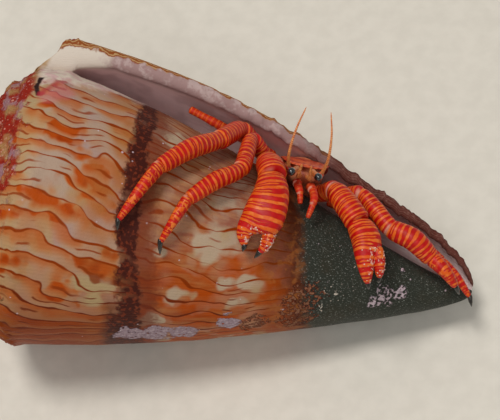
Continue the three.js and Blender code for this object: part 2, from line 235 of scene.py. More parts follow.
def finish_piece(
    piece: bpy.types.Object, finish: bpy.types.Material, nodes: Sequence[str]
) -> bpy.types.Object:
    """Dresses a piece, hangs it on the root and hides the CAD nodes that it replaces.

    Args:
        piece: The finished mesh.
        finish: Its material.
        nodes: The CAD nodes that it replaces.

    Returns:
        The same piece.
    """
    piece.data.materials.clear()
    piece.data.materials.append(finish)
    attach(piece, "root")
    if nodes:
        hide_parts(*nodes)
    log.info("%s: %d faces", piece.name, len(piece.data.polygons))
    return piece


# ---------------------------------------------------------- material nodes ----

Socket = bpy.types.NodeSocket
Value = Socket | float


@dataclass(frozen=True)
class Patch:
    """A growth on the shell: where it sits and how far it reaches."""

    centre: Point
    radius: float


class Paint:
    """Builds one material's nodes, a line of paint at a time."""

    def __init__(self, name: str) -> None:
        """Starts an empty material with its shader and its coordinates."""
        self.material = bpy.data.materials.new(name)
        self.material.use_nodes = True
        self.tree = self.material.node_tree
        self.shader = self.tree.nodes["Principled BSDF"]
        self.coordinates = self._node("ShaderNodeTexCoord")
        scaled = self._node("ShaderNodeVectorMath", operation="SCALE")
        self._feed(scaled.inputs[0], self.coordinates.outputs["Object"])
        scaled.inputs["Scale"].default_value = 1.0 / MM
        self.place_mm: Socket = scaled.outputs[0]

    def _node(self, kind: str, **settings) -> bpy.types.Node:
        """Adds one node of a kind, with its settings."""
        node = self.tree.nodes.new(kind)
        for key, value in settings.items():
            setattr(node, key, value)
        return node

    def _feed(self, target: Socket, source) -> None:
        """Links a socket, or sets a number or a colour, on an input."""
        if isinstance(source, bpy.types.NodeSocket):
            self.tree.links.new(source, target)
        elif isinstance(source, tuple) and len(source) == 3 and target.type == "RGBA":
            target.default_value = (*source, 1.0)
        else:
            target.default_value = source

    def math(self, operation: str, *values: Value) -> Socket:
        """One arithmetic step on numbers or sockets."""
        node = self._node("ShaderNodeMath", operation=operation)
        for target, value in zip(node.inputs, values):
            self._feed(target, value)
        return node.outputs[0]

    def add(self, *values: Value) -> Socket:
        """The sum of all the values."""
        total = values[0]
        for value in values[1:]:
            total = self.math("ADD", total, value)
        return total

    def times(self, *values: Value) -> Socket:
        """The product of all the values."""
        product = values[0]
        for value in values[1:]:
            product = self.math("MULTIPLY", product, value)
        return product

    def inverse(self, mask: Value) -> Socket:
        """One minus a mask."""
        return self.math("SUBTRACT", 1.0, mask)

    def step(self, value: Value, low: float, high: float) -> Socket:
        """A smooth step from 0 where value is low to 1 where it is high."""
        flipped = low > high
        node = self._node("ShaderNodeMapRange", interpolation_type="SMOOTHSTEP")
        self._feed(node.inputs["Value"], value)
        node.inputs["From Min"].default_value = high if flipped else low
        node.inputs["From Max"].default_value = low if flipped else high
        node.inputs["To Min"].default_value = 1.0 if flipped else 0.0
        node.inputs["To Max"].default_value = 0.0 if flipped else 1.0
        return node.outputs["Result"]

    def band(self, value: Value, low: float, high: float, soft: float) -> Socket:
        """1 between low and high, fading to 0 over soft outside them."""
        rise = self.step(value, low - soft, low)
        return self.times(rise, self.step(value, high + soft, high))

    def noise(
        self, size_mm: float, detail: float = 2.0, vector: Socket | None = None, shift: float = 0.0
    ) -> Socket:
        """Soft noise between about 0.3 and 0.7, with lumps of this size."""
        node = self._node("ShaderNodeTexNoise", noise_dimensions="4D")
        self._feed(node.inputs["Vector"], vector or self.place_mm)
        node.inputs["W"].default_value = shift
        node.inputs["Scale"].default_value = 1.0 / size_mm
        node.inputs["Detail"].default_value = detail
        return node.outputs[0]

    def spots(self, size_mm: float, radius: float, vector: Socket | None = None) -> Socket:
        """Round specks, one to a cell of this size, of at most this share of it."""
        node = self._node("ShaderNodeTexVoronoi")
        self._feed(node.inputs["Vector"], vector or self.place_mm)
        node.inputs["Scale"].default_value = 1.0 / size_mm
        width = self._node("ShaderNodeSeparateColor")
        self._feed(width.inputs[0], node.outputs["Color"])
        edge = self.times(width.outputs[0], radius)
        return self.step(self.math("SUBTRACT", node.outputs["Distance"], edge), 0.04, -0.04)

    def cells(self, size_mm: float) -> Socket:
        """The distance to the nearest cell's middle, 0 there and near 1 between."""
        node = self._node("ShaderNodeTexVoronoi")
        self._feed(node.inputs["Vector"], self.place_mm)
        node.inputs["Scale"].default_value = 1.0 / size_mm
        return node.outputs["Distance"]

    def pattern(self) -> tuple[Socket, Socket]:
        """The two pattern coordinates that the mesh carries."""
        node = self._node("ShaderNodeUVMap", uv_map="Growth")
        split = self._node("ShaderNodeSeparateXYZ")
        self._feed(split.inputs[0], node.outputs[0])
        return split.outputs[0], split.outputs[1]

    def mask(self, name: str) -> Socket:
        """A mask that the mesh carries as an attribute."""
        return self._node("ShaderNodeAttribute", attribute_name=name).outputs["Fac"]

    def shell_place(self, squeeze: float) -> Socket:
        """Places in the shell's own frame, squeezed along its axis."""
        offset = self._node("ShaderNodeVectorMath", operation="SUBTRACT")
        self._feed(offset.inputs[0], self.place_mm)
        offset.inputs[1].default_value = POSE.origin_mm
        shares = []
        for axis, scale in (((1.0, 0.0, 0.0), squeeze), ((0.0, 1.0, 0.0), 1.0), ((0.0, 0.0, 1.0), 1.0)):
            dot = self._node("ShaderNodeVectorMath", operation="DOT_PRODUCT")
            self._feed(dot.inputs[0], offset.outputs[0])
            dot.inputs[1].default_value = POSE.direction(axis) * scale
            shares.append(dot.outputs["Value"])
        return self.join(*shares)

    def blots(self, patches: Sequence[Patch], ragged: Value, core: float = 0.8, squeeze: float = 1.0) -> Socket:
        """Blots round places on the shell, with ragged edges.

        Args:
            patches: Where the blots are and how far they reach.
            ragged: Noise that moves their edges in and out.
            core: The share of the reach that is covered fully.
            squeeze: Below 1, draws the blots out along the shell's axis.

        Returns:
            A mask, 1 in the middle of each blot.
        """
        place = self.shell_place(squeeze)
        wander = self.times(self.add(ragged, -0.5), 2.4)
        covered: Value = 0.0
        for patch in patches:
            node = self._node("ShaderNodeVectorMath", operation="DISTANCE")
            self._feed(node.inputs[0], place)
            x, y, z = patch.centre
            node.inputs[1].default_value = (x * squeeze, y, z)
            reach = self.add(self.times(node.outputs["Value"], 1.0 / patch.radius), wander)
            covered = self.math("MAXIMUM", covered, self.step(reach, 1.0, core))
        return covered

    def join(self, x: Value, y: Value, z: Value) -> Socket:
        """A vector from three numbers."""
        node = self._node("ShaderNodeCombineXYZ")
        for target, value in zip(node.inputs, (x, y, z)):
            self._feed(target, value)
        return node.outputs[0]

    def stroke(self, start: Point, stop: Point, width_mm: float, wander: Value = 0.0) -> Socket:
        """A line drawn on the shell between two places.

        Args:
            start: One end, in the shell's frame, in millimetres.
            stop: The other end.
            width_mm: How far the line reaches on each side.
            wander: Added to the distance, to make the line ragged.

        Returns:
            A mask, 1 along the line.
        """
        near, far = (Vector(p / MM) for p in POSE.place(np.array([start, stop])))
        along = far - near
        offset = self._node("ShaderNodeVectorMath", operation="SUBTRACT")
        self._feed(offset.inputs[0], self.place_mm)
        offset.inputs[1].default_value = near
        dot = self._node("ShaderNodeVectorMath", operation="DOT_PRODUCT")
        self._feed(dot.inputs[0], offset.outputs[0])
        dot.inputs[1].default_value = along / along.length_squared
        share = self.math("MINIMUM", self.math("MAXIMUM", dot.outputs["Value"], 0.0), 1.0)
        foot = self._node("ShaderNodeVectorMath", operation="SCALE")
        foot.inputs[0].default_value = along
        self._feed(foot.inputs["Scale"], share)
        gap = self._node("ShaderNodeVectorMath", operation="DISTANCE")
        self._feed(gap.inputs[0], offset.outputs[0])
        self._feed(gap.inputs[1], foot.outputs[0])
        return self.step(self.add(gap.outputs["Value"], wander), width_mm, 0.35 * width_mm)

    def mix(self, mask: Value, under, over) -> Socket:
        """One colour laid over another through a mask."""
        node = self._node("ShaderNodeMix", data_type="RGBA")
        self._feed(node.inputs[0], mask)
        self._feed(node.inputs[6], under)
        self._feed(node.inputs[7], over)
        return node.outputs[2]

    def between(self, mask: Value, low: float, high: float) -> Socket:
        """A number that runs from low to high with a mask."""
        return self.math("MULTIPLY_ADD", mask, high - low, low)

    def bump(self, height: Value, depth_mm: float, under: Socket | None = None) -> Socket:
        """A relief of this depth, on top of another one."""
        node = self._node("ShaderNodeBump")
        self._feed(node.inputs["Height"], height)
        node.inputs["Strength"].default_value = 1.0
        node.inputs["Distance"].default_value = depth_mm * MM
        if under is not None:
            self._feed(node.inputs["Normal"], under)
        return node.outputs[0]

    def finish(self, colour, roughness: Value, relief: Socket | None = None, **constants) -> bpy.types.Material:
        """Feeds the shader and gives back the finished material.

        Args:
            colour: The base colour, as a socket or a colour.
            roughness: The roughness, as a socket or a number.
            relief: The normal from bump(), if there is one.
            constants: Numbers for the shader's own sockets, such as coat=0.3.

        Returns:
            The material.
        """
        self._feed(self.shader.inputs["Base Color"], colour)
        self._feed(self.shader.inputs["Roughness"], roughness)
        if relief is not None:
            self._feed(self.shader.inputs["Normal"], relief)
        names = {
            "coat": "Coat Weight",
            "coat_roughness": "Coat Roughness",
            "subsurface": "Subsurface Weight",
            "ior": "IOR",
        }
        for key, value in constants.items():
            self.shader.inputs[names[key]].default_value = value
        return self.material


# -------------------------------------------------------------- the shell ----


@dataclass(frozen=True)
class Whorl:
    """The shape of the last whorl and the spire, as sizes in millimetres.

    A turn counts the last whorl: 0 where it starts under the lip, 1 at the lip.
    """

    side_length: float = 69.0
    lip_radius: float = 25.6
    coil_radius: float = 20.5
    lip_fullness: float = 0.52
    coil_fullness: tuple[float, float] = (0.5, 1.25)
    columella_radius: float = 1.1
    shoulder_lip: tuple[float, float] = (-2.5, 24.6)
    shoulder_start: tuple[float, float] = (-5.4, 17.6)
    spire_slope: float = 0.58
    riser: float = 0.95
    flare: float = 2.0
    flare_span: tuple[float, float] = (-2.0, 48.0)
    wall: tuple[float, float] = (3.1, 1.3)
    wall_inside: float = 0.62

    def share(self, x: Array) -> Array:
        """How far along the side of the whorl x is, from 0 to 1."""
        return np.clip(x / self.side_length, 0.0, 1.0)

    def radius(self, x: Array, turn: Array) -> Array:
        """The outer radius at a place along the axis and a turn."""
        left = 1.0 - self.share(x)
        coil = self.coil_radius * left ** lerp(*self.coil_fullness, self.share(x))
        lip = self.lip_radius * left**self.lip_fullness
        along = np.clip((x - self.flare_span[0]) / (self.flare_span[1] - self.flare_span[0]), 0, 1)
        flare = self.flare * np.sin(np.pi * along) ** 0.8 * np.clip(turn, 0, 1) ** 6
        return lerp(coil, lip, turn) + flare

    def shoulder(self, turn: Array) -> tuple[Array, Array]:
        """Place along the axis, and radius, of the shoulder's edge."""
        x = lerp(self.shoulder_start[0], self.shoulder_lip[0], turn)
        return x, lerp(self.shoulder_start[1], self.shoulder_lip[1], turn)

    def spire(self, radius: Array, turn: Array) -> Array:
        """Height of the spire over a radius, with a step at each suture."""
        ratio = self.shoulder_lip[1] / self.shoulder_start[1]
        edge = self.shoulder_lip[1] * ratio ** (turn - 1.0)
        older = np.log(edge / np.maximum(radius, 0.25)) / math.log(ratio)
        across = older - np.floor(older + 1e-6)
        riser = across - 1.06 * smooth(0.86, 1.0, across)
        cords = 0.06 * np.sin(across * 8.0 * math.pi)
        shown = smooth(0.4, 2.0, radius)
        step = self.riser * (radius / self.shoulder_lip[1] + 0.12) * (riser + cords) * shown
        return self.shoulder_lip[0] - self.spire_slope * (self.shoulder_lip[1] - radius) + step

    def hollow(self, x: Array, degrees: Array) -> tuple[Array, Array]:
        """Inner and outer radius of the hollow, at an angle back from the lip."""
        turn = 1.0 + degrees / 360.0
        inner = np.maximum(self.radius(x, turn - 1.0), self.columella_radius * (1 - self.share(x)))
        inside = np.clip(-degrees / 45.0, 0.0, 1.0)
        wall = lerp(*self.wall, self.share(x)) * lerp(1.0, self.wall_inside, inside)
        outside = self.radius(x, turn)
        room = np.maximum(outside - inner, 0.02)
        outer = outside - np.minimum(wall, 0.46 * room)
        opened = np.clip((x + 0.8) / 6.8, 0.0, 1.0) ** 0.6
        return inner, lerp(inner, np.maximum(outer, inner), opened)


LAVENDER_PATCHES = (
    Patch((17.5, -16.8, 8.0), 2.6),
    Patch((21.4, -16.6, 7.0), 3.0),
    Patch((25.2, -15.3, 6.6), 2.6),
    Patch((32.0, -12.2, 8.1), 2.0),
)
PINK_PATCHES = (
    Patch((55.4, -3.2, 5.0), 1.9),
    Patch((53.8, -4.4, 4.9), 1.4),
    Patch((57.4, -2.4, 4.6), 1.2),
    Patch((57.0, 1.1, 4.3), 0.7),
)
SPECKLED_PATCHES = (
    Patch((47.1, -4.8, 7.6), 2.6),
    Patch((44.5, -7.5, 7.0), 3.0),
    Patch((50.0, -2.0, 7.0), 2.4),
)
CRIMSON_PATCHES = (
    Patch((42.8, -6.4, 8.5), 3.4),
    Patch((41.6, -9.6, 6.0), 3.0),
    Patch((36.0, -11.6, 6.6), 2.4),
)

FLAME_PATCHES = (
    Patch((2.8, 10.4, 18.1), 2.8),
    Patch((0.8, 10.8, 18.3), 2.0),
    Patch((5.4, 8.7, 18.5), 2.4),
    Patch((1.7, 0.0, 21.5), 3.4),
    Patch((4.0, -0.9, 21.1), 2.8),
    Patch((-2.9, -3.2, 21.1), 2.5),
    Patch((-4.5, 8.5, 17.7), 1.9),
    Patch((9.0, 5.0, 19.2), 3.2),
    Patch((11.1, -7.5, 18.4), 3.6),
    Patch((6.7, -12.4, 17.0), 3.1),
    Patch((-1.1, -10.4, 19.8), 2.5),
    Patch((3.7, 16.7, 11.6), 1.6),
    Patch((9.6, 2.6, 19.6), 2.6),
    Patch((6.4, 3.9, 20.1), 2.0),
    Patch((-1.4, 14.2, 15.7), 1.3),
    Patch((31.3, -3.7, 13.8), 3.4),
    Patch((27.2, -9.5, 12.7), 3.7),
    Patch((37.9, -5.8, 10.8), 3.7),
)
CREAM_PATCHES = (
    Patch((17.9, 13.2, 11.1), 2.2),
    Patch((28.0, 5.4, 13.6), 2.7),
    Patch((28.5, 9.3, 10.7), 2.0),
    Patch((26.6, -3.1, 15.3), 2.0),
    Patch((28.5, 0.1, 14.9), 2.6),
    Patch((26.1, -0.5, 15.7), 2.0),
    Patch((20.0, -3.5, 17.2), 1.3),
    Patch((23.0, -9.7, 14.0), 2.0),
    Patch((20.3, -14.2, 11.3), 2.0),
    Patch((30.4, -6.5, 13.2), 1.8),
    Patch((34.1, -5.8, 12.2), 2.2),
    Patch((32.3, -8.7, 11.3), 1.7),
    Patch((11.6, -10.3, 17.1), 2.3),
    Patch((11.2, -12.7, 15.7), 1.7),
)
TANNED_PATCHES = (
    Patch((7.2, 0.6, 20.4), 4.6),
    Patch((9.6, -3.0, 19.9), 3.0),
    Patch((1.2, -4.2, 21.2), 2.6),
    Patch((6.6, -8.6, 19.0), 2.6),
    Patch((8.5, -11.0, 17.5), 3.2),
)
# Where the near-black line of painted shade runs along the crevice at the notch.
CREVICE = ((-3.55, 18.75, 9.35), (-3.85, 17.0, 11.5), (-3.1, 15.7, 13.3))


@dataclass(frozen=True)
class ShellFinish:
    """The painted, banded and encrusted surface of the cone."""

    cream: Colour = hex_colour("ad9380")
    violet_white: Colour = hex_colour("a58c86")
    tent: Colour = hex_colour("b4a088")
    yellow_white: Colour = hex_colour("ac9263")
    line: Colour = hex_colour("8a3400")
    line_deep: Colour = hex_colour("6a2200")
    gold: Colour = hex_colour("b67032")
    stain: Colour = hex_colour("ae4400")
    stain_deep: Colour = hex_colour("943000")
    # Darker brown of the underside: the shell's own stain and painted shade together.
    underside_stain_and_shade: Colour = hex_colour("85380c")
    middle: Colour = hex_colour("a86c3c")
    collar: Colour = hex_colour("a4622f")
    band: Colour = hex_colour("431c15")
    band_fleck: Colour = hex_colour("70301d")
    amber: Colour = hex_colour("8c3c0b")
    umber: Colour = hex_colour("4e2514")
    base: Colour = hex_colour("33362f")
    base_fleck: Colour = hex_colour("b9bdb4")
    coralline: Colour = hex_colour("962618")
    coralline_pale: Colour = hex_colour("d69c8a")
    tan: Colour = hex_colour("ac8756")
    lavender: Colour = hex_colour("a38d97")
    pink_white: Colour = hex_colour("cfbcc4")
    lip_white: Colour = hex_colour("d2c6b8")
    lip_mauve: Colour = hex_colour("a0827f")
    lip_pale: Colour = hex_colour("bfa9a5")
    lip_dark: Colour = hex_colour("5e3028")
    lip_worn: Colour = hex_colour("7e574c")
    lip_edge: Colour = hex_colour("8c4a20")
    lip_edge_pale: Colour = hex_colour("b28c60")
    rust: Colour = hex_colour("6c2a1a")
    rust_pale: Colour = hex_colour("8c6048")
    callus: Colour = hex_colour("d6c6b6")
    callus_pink: Colour = hex_colour("cdaaa6")
    # Near-black painted shade for the crevice at the notch.
    crevice_shade: Colour = hex_colour("2e1c1a")
    glaze: Colour = hex_colour("a92f3c")
    glaze_pink: Colour = hex_colour("c46a72")
    # The hollow's walls are painted much paler than their own colour, as painted reflected light.
    inside: Colour = hex_colour("f6dedb")
    deep: Colour = hex_colour("eac2c0")
    lines_per_turn: int = 43

    def phase(self, paint: Paint, turn: Socket, along: Socket) -> Socket:
        """The count of axial lines passed at a place, warped to make them wavy."""
        drift = paint.times(paint.add(paint.noise(15.0, 0.5), -0.5), 3.4)
        wave = paint.times(paint.add(paint.noise(6.0, 0.6, shift=3.0), -0.5), 1.9)
        shiver = paint.times(paint.add(paint.noise(2.2, 0.6, shift=7.0), -0.5), 0.4)
        slant = paint.times(paint.step(along, -10.0, 30.0), -0.05 * self.lines_per_turn)
        count = paint.times(turn, float(self.lines_per_turn))
        return paint.add(count, slant, drift, wave, shiver)

    def axial_lines(self, paint: Paint, phase: Socket) -> Socket:
        """Fine wavy lines from the shoulder to the tip, thick, thin or broken."""
        weight = paint.noise(3.4, 1.0, shift=11.0)
        width = paint.math("MULTIPLY_ADD", weight, 0.22, -0.068)
        gap = paint.math("PINGPONG", phase, 0.5)
        main = paint.step(paint.math("SUBTRACT", gap, width), 0.045, -0.025)
        middle = paint.math("PINGPONG", paint.add(phase, 0.47), 0.5)
        rare = paint.step(paint.noise(4.4, 1.0, shift=19.0), 0.53, 0.6)
        faint = paint.times(paint.step(middle, 0.09, 0.03), rare, 0.85)
        return paint.math("MAXIMUM", main, faint)

    def flanks(self, paint: Paint, turn: Socket, along: Socket) -> Socket:
        """The colour of the whorl's side, from the shoulder to the dark base."""
        phase = self.phase(paint, turn, along)
        lines = self.axial_lines(paint, phase)
        fine = paint.noise(0.6, 3.0, shift=5.0)
        ragged = paint.times(paint.add(paint.noise(3.6, 2.5, shift=31.0), -0.5), 5.0)
        bend = paint.times(paint.step(turn, 0.2, 0.42), paint.step(along, 32.0, 22.0), -1.75)
        place = paint.add(along, paint.times(turn, 5.0), bend)
        wavy = paint.add(place, ragged)
        behind = paint.math("FRACT", phase)
        smear = paint.step(behind, 0.95, 0.05)

        ground = paint.mix(paint.step(paint.noise(7.0, 2.0, shift=2.0), 0.42, 0.58), self.cream, self.violet_white)
        yellow = paint.times(paint.step(paint.noise(5.0, 2.0, shift=3.5), 0.5, 0.64), 0.55)
        yellow = paint.math("MAXIMUM", yellow, paint.times(paint.step(along, 5.0, 2.0), 0.7))
        ground = paint.mix(yellow, ground, self.yellow_white)

        tanned = paint.blots(TANNED_PATCHES, paint.noise(4.0, 1.0, shift=38.0), core=0.2)
        tanned = paint.math("MAXIMUM", paint.times(tanned, 0.45), paint.times(paint.step(turn, 0.28, 0.37), 0.5))
        ground = paint.mix(tanned, ground, self.middle)

        face = paint.band(turn, 0.02, 0.4, 0.08)
        flames = paint.blots(FLAME_PATCHES, paint.noise(2.6, 1.2, shift=35.0), core=0.05, squeeze=0.55)
        creams = paint.blots(CREAM_PATCHES, paint.noise(2.6, 1.2, shift=36.0), core=0.45, squeeze=0.66)
        underside = paint.times(paint.step(turn, 0.34, 0.42), paint.step(turn, 0.75, 0.6))
        clouds = paint.step(paint.noise(7.0, 2.0, shift=13.0), 0.36, 0.54)
        cores = paint.step(paint.noise(4.2, 2.0, shift=41.0), 0.46, 0.6)
        hug = paint.math("MULTIPLY_ADD", smear, 0.72, 0.28)
        posterior = paint.step(wavy, 21.0, 15.0)
        cloudy = paint.times(clouds, paint.between(face, 1.0, 0.5), paint.between(posterior, 0.35, 1.0))
        cloudy = paint.math("MAXIMUM", cloudy, paint.times(underside, posterior))
        cloudy = paint.math("MAXIMUM", cloudy, flames)
        stained = paint.times(cloudy, paint.between(smear, 0.36, 1.05), paint.inverse(creams))
        colour = paint.mix(paint.times(paint.step(stained, 0.05, 0.5), 0.7), ground, self.gold)
        colour = paint.mix(paint.times(paint.step(stained, 0.25, 0.75), 0.95), colour, self.stain)
        deepest = paint.times(cores, paint.math("MAXIMUM", flames, underside), paint.step(hug, 0.3, 0.9), 0.9)
        colour = paint.mix(paint.times(deepest, posterior), colour, self.stain_deep)
        # Darker brown over the underside: partly the shell's own stain, partly painted shade.
        shaded = paint.times(paint.step(turn, 0.34, 0.42), paint.between(hug, 0.55, 0.95))
        colour = paint.mix(paint.times(shaded, underside), colour, self.underside_stain_and_shade)

        collar = paint.times(paint.band(wavy, 15.0, 17.5, 4.0), paint.between(hug, 0.3, 0.85))
        collar = paint.times(collar, paint.between(paint.step(paint.noise(5.0, 1.0, shift=37.0), 0.4, 0.56), 0.3, 1.0))
        colour = paint.mix(collar, colour, self.collar)
        waist = paint.band(wavy, 20.5, 37.0, 2.5)
        streaks = paint.noise(1.0, 2.0, self.stretched(paint, turn, along))
        low_side = paint.step(turn, 0.2, 0.34)
        brown = paint.mix(paint.step(streaks, 0.36, 0.66), self.middle, self.amber)
        brown = paint.mix(paint.times(low_side, hug, 0.8), brown, self.stain)
        heavy = paint.between(paint.times(low_side, clouds), 0.74, 1.0)
        colour = paint.mix(paint.times(waist, heavy), colour, brown)
        tents = paint.add(paint.noise(4.4, 2.2, shift=23.0), paint.times(paint.add(smear, -0.5), 0.05))
        blotch = paint.times(paint.step(tents, 0.47, 0.59), paint.band(wavy, 21.5, 35.5, 1.6))
        blotch = paint.math("MAXIMUM", paint.times(blotch, paint.between(face, 1.0, 0.3)), creams)
        yellowed = paint.math("MAXIMUM", yellow, paint.times(posterior, 0.8))
        colour = paint.mix(paint.times(blotch, 0.9), colour, paint.mix(yellowed, self.tent, self.yellow_white))
        burnt = paint.times(flames, waist, paint.inverse(blotch), 0.7)
        colour = paint.mix(burnt, colour, self.stain)
        ink = paint.mix(paint.step(turn, 0.3, 0.38), self.line, self.line_deep)
        colour = paint.mix(lines, colour, ink)

        straight = paint.add(place, paint.times(ragged, 0.45))
        edge = paint.add(straight, paint.times(paint.add(fine, -0.5), 2.0))
        dark = paint.mix(paint.step(fine, 0.5, 0.64), self.band, self.band_fleck)
        patchy = paint.between(paint.step(paint.noise(2.4, 2.0, shift=33.0), 0.34, 0.46), 0.6, 1.0)
        broader = paint.times(paint.band(edge, 16.0, 18.2, 1.8), paint.step(turn, 0.34, 0.4))
        fading = paint.times(paint.math("MAXIMUM", paint.band(edge, 17.2, 19.2, 0.8), broader), patchy)
        fringe = paint.times(paint.band(edge, 18.8, 20.7, 2.1), 0.75)
        colour = paint.mix(fringe, colour, self.band_fleck)
        colour = paint.mix(fading, colour, dark)
        foot = paint.step(wavy, 34.0, 39.5)
        colour = paint.mix(paint.times(foot, 0.85), colour, self.amber)
        colour = paint.mix(paint.times(paint.step(edge, 38.0, 41.5), 0.9), colour, self.umber)
        olive = paint.times(paint.step(paint.noise(6.0, 3.0, shift=51.0), 0.5, 0.7), 0.45)
        base = paint.mix(olive, self.base, hex_colour("3d3628"))
        grit = paint.step(paint.noise(0.3, 2.0, self.stretched(paint, turn, along, 0.8)), 0.58, 0.7)
        base = paint.mix(paint.times(grit, 0.42), base, self.base_fleck)
        base = paint.mix(paint.times(paint.spots(0.8, 0.14), 0.4), base, self.base_fleck)
        base = paint.mix(paint.times(paint.spots(0.34, 0.22), 0.4), base, self.base_fleck)
        rusted = paint.times(paint.step(paint.noise(1.7, 3.0, shift=57.0), 0.48, 0.6), paint.step(edge, 35.0, 38.5))
        colour = paint.mix(paint.times(rusted, 0.55), colour, self.collar)
        return paint.mix(paint.step(edge, 40.5, 42.8), colour, base)

    def stretched(self, paint: Paint, turn: Socket, along: Socket, pull: float = 0.25) -> Socket:
        """Coordinates in which noise is drawn out along the shell's axis."""
        return paint.join(paint.times(turn, 125.0), paint.times(along, pull), 0.0)

    def growths(self, paint: Paint, colour: Socket, turn: Socket, along: Socket) -> tuple[Socket, Socket]:
        """Lays the crusts that grow on the shell over its own colour.

        Args:
            paint: The material's nodes.
            colour: The colour underneath.
            turn: Turns of growth, 0 where the last whorl starts.
            along: Millimetres from the shoulder, negative on the spire.

        Returns:
            The colour with its crusts, and a mask of where they are.
        """
        ragged = paint.noise(2.0, 4.0, shift=61.0)
        branching = paint.noise(0.55, 4.0, shift=83.0)
        near_notch = paint.band(turn, -0.1, 0.1, 0.03)
        edge = paint.add(along, paint.times(paint.add(ragged, -0.5), paint.between(near_notch, 9.0, 2.0)))
        spire = paint.step(paint.add(edge, paint.times(near_notch, -1.2)), 1.5, 0.1)
        dots = paint.math("MAXIMUM", paint.spots(0.5, 0.3), paint.spots(0.9, 0.3))
        patches = paint.step(paint.noise(2.6, 5.0, shift=71.0), 0.45, 0.65)
        crust = paint.mix(paint.times(dots, 0.7), self.coralline, self.coralline_pale)
        bleached = paint.step(paint.noise(2.6, 3.0, shift=77.0), 0.54, 0.64)
        crust = paint.mix(paint.times(bleached, 0.6), crust, self.lavender)
        crust = paint.mix(paint.times(patches, paint.between(dots, 0.85, 0.5)), crust, self.tan)
        colour = paint.mix(spire, colour, crust)
        mottled = paint.mix(paint.times(paint.step(branching, 0.5, 0.62), 0.5), self.lavender, self.pink_white)
        pale = paint.mix(paint.step(branching, 0.42, 0.58), self.pink_white, self.lip_white)
        lacy = paint.mix(paint.step(branching, 0.46, 0.6), self.lavender, self.pink_white)
        rusty = paint.mix(paint.step(branching, 0.5, 0.62), self.rust, self.rust_pale)
        covered = spire
        for patches_here, tint, opening in (
            (LAVENDER_PATCHES, mottled, (0.34, 0.4)),
            (PINK_PATCHES, lacy, (0.45, 0.51)),
            (SPECKLED_PATCHES, pale, (0.62, 0.65)),
            (CRIMSON_PATCHES, rusty, (0.47, 0.54)),
        ):
            reach = paint.times(paint.blots(patches_here, ragged), paint.step(branching, *opening))
            colour = paint.mix(reach, colour, tint)
            covered = paint.math("MAXIMUM", covered, reach)
        sand = paint.times(paint.spots(1.7, 0.1), paint.step(paint.noise(4.0, 1.0, shift=87.0), 0.45, 0.55))
        return paint.mix(paint.times(sand, 0.8), colour, self.pink_white), covered

    def lip(self, paint: Paint, turn: Socket, along: Socket) -> Socket:
        """The colour of the lip's cut edge: white, then mauve, then dark."""
        blotch = paint.noise(1.7, 3.0, shift=93.0)
        edge = paint.add(along, paint.times(paint.add(blotch, -0.5), 5.0))
        mauve = paint.mix(paint.times(paint.step(blotch, 0.47, 0.6), 0.75), self.lip_mauve, self.lip_pale)
        worn = paint.step(paint.noise(0.5, 3.0, shift=97.0), 0.52, 0.64)
        sheet = paint.math("SINE", paint.add(paint.times(turn, 460.0), paint.times(blotch, 26.0)))
        ridge = paint.step(sheet, -0.2, 0.8)
        dark = paint.mix(paint.times(paint.add(worn, ridge), 0.5), self.lip_dark, self.lip_worn)
        colour = paint.mix(paint.step(edge, 4.0, 5.8), self.lip_white, mauve)
        freckles = paint.times(paint.step(paint.noise(0.45, 2.0, shift=98.0), 0.53, 0.6), paint.step(edge, 4.0, 7.0))
        colour = paint.mix(paint.times(freckles, 0.5), colour, self.lip_mauve)
        colour = paint.mix(paint.step(edge, 24.0, 32.0), colour, dark)
        rim = paint.mix(ridge, self.lip_edge, self.lip_edge_pale)
        rim = paint.mix(paint.step(edge, 22.0, 32.0), rim, self.lip_dark)
        width = paint.add(turn, paint.times(paint.add(blotch, -0.5), 0.07))
        limit = paint.between(paint.step(edge, 6.0, 12.0), 1.036, 1.024)
        colour = paint.mix(paint.step(paint.math("SUBTRACT", width, limit), 0.004, -0.004), colour, rim)
        ochre = paint.mix(paint.step(blotch, 0.42, 0.56), self.tan, self.lip_edge_pale)
        corner = paint.add(along, paint.times(paint.add(blotch, -0.5), 1.4))
        return paint.mix(paint.step(corner, -0.3, -1.0), colour, ochre)

    def notch(self, paint: Paint, colour: Socket, turn: Socket, along: Socket) -> Socket:
        """The callus, the red glaze and a near-black line of painted shade in the crevice where the lip meets the
        older whorl.
        """
        wander = paint.times(paint.add(paint.noise(1.3, 2.0, shift=43.0), -0.5), 0.5)
        older = paint.step(turn, 0.5, 0.45)
        taper = paint.add(turn, paint.times(along, 0.0047), paint.times(wander, 0.06))
        callus = paint.times(paint.step(taper, 0.116, 0.092), paint.step(along, 2.0, 2.9))
        shade = paint.mix(paint.step(paint.noise(1.6, 2.0, shift=45.0), 0.42, 0.6), self.callus, self.callus_pink)
        colour = paint.mix(paint.times(callus, older), colour, shade)
        pink = paint.stroke((-1.2, 15.4, 14.0), (0.6, 17.0, 12.2), 2.2, paint.times(wander, 2.0))
        colour = paint.mix(paint.times(pink, older, 0.5), colour, self.glaze_pink)
        # Painted shade: a near-black line drawn along the crevice at the notch.
        for start, stop in ((CREVICE[0], CREVICE[1]), (CREVICE[1], CREVICE[2])):
            colour = paint.mix(paint.times(paint.stroke(start, stop, 0.55, paint.times(wander, 0.35)), older), colour, self.crevice_shade)
        red = paint.stroke((-2.6, 15.6, 13.2), (-0.2, 18.4, 10.0), 1.0, wander)
        return paint.mix(paint.times(red, older, 0.85), colour, self.glaze)

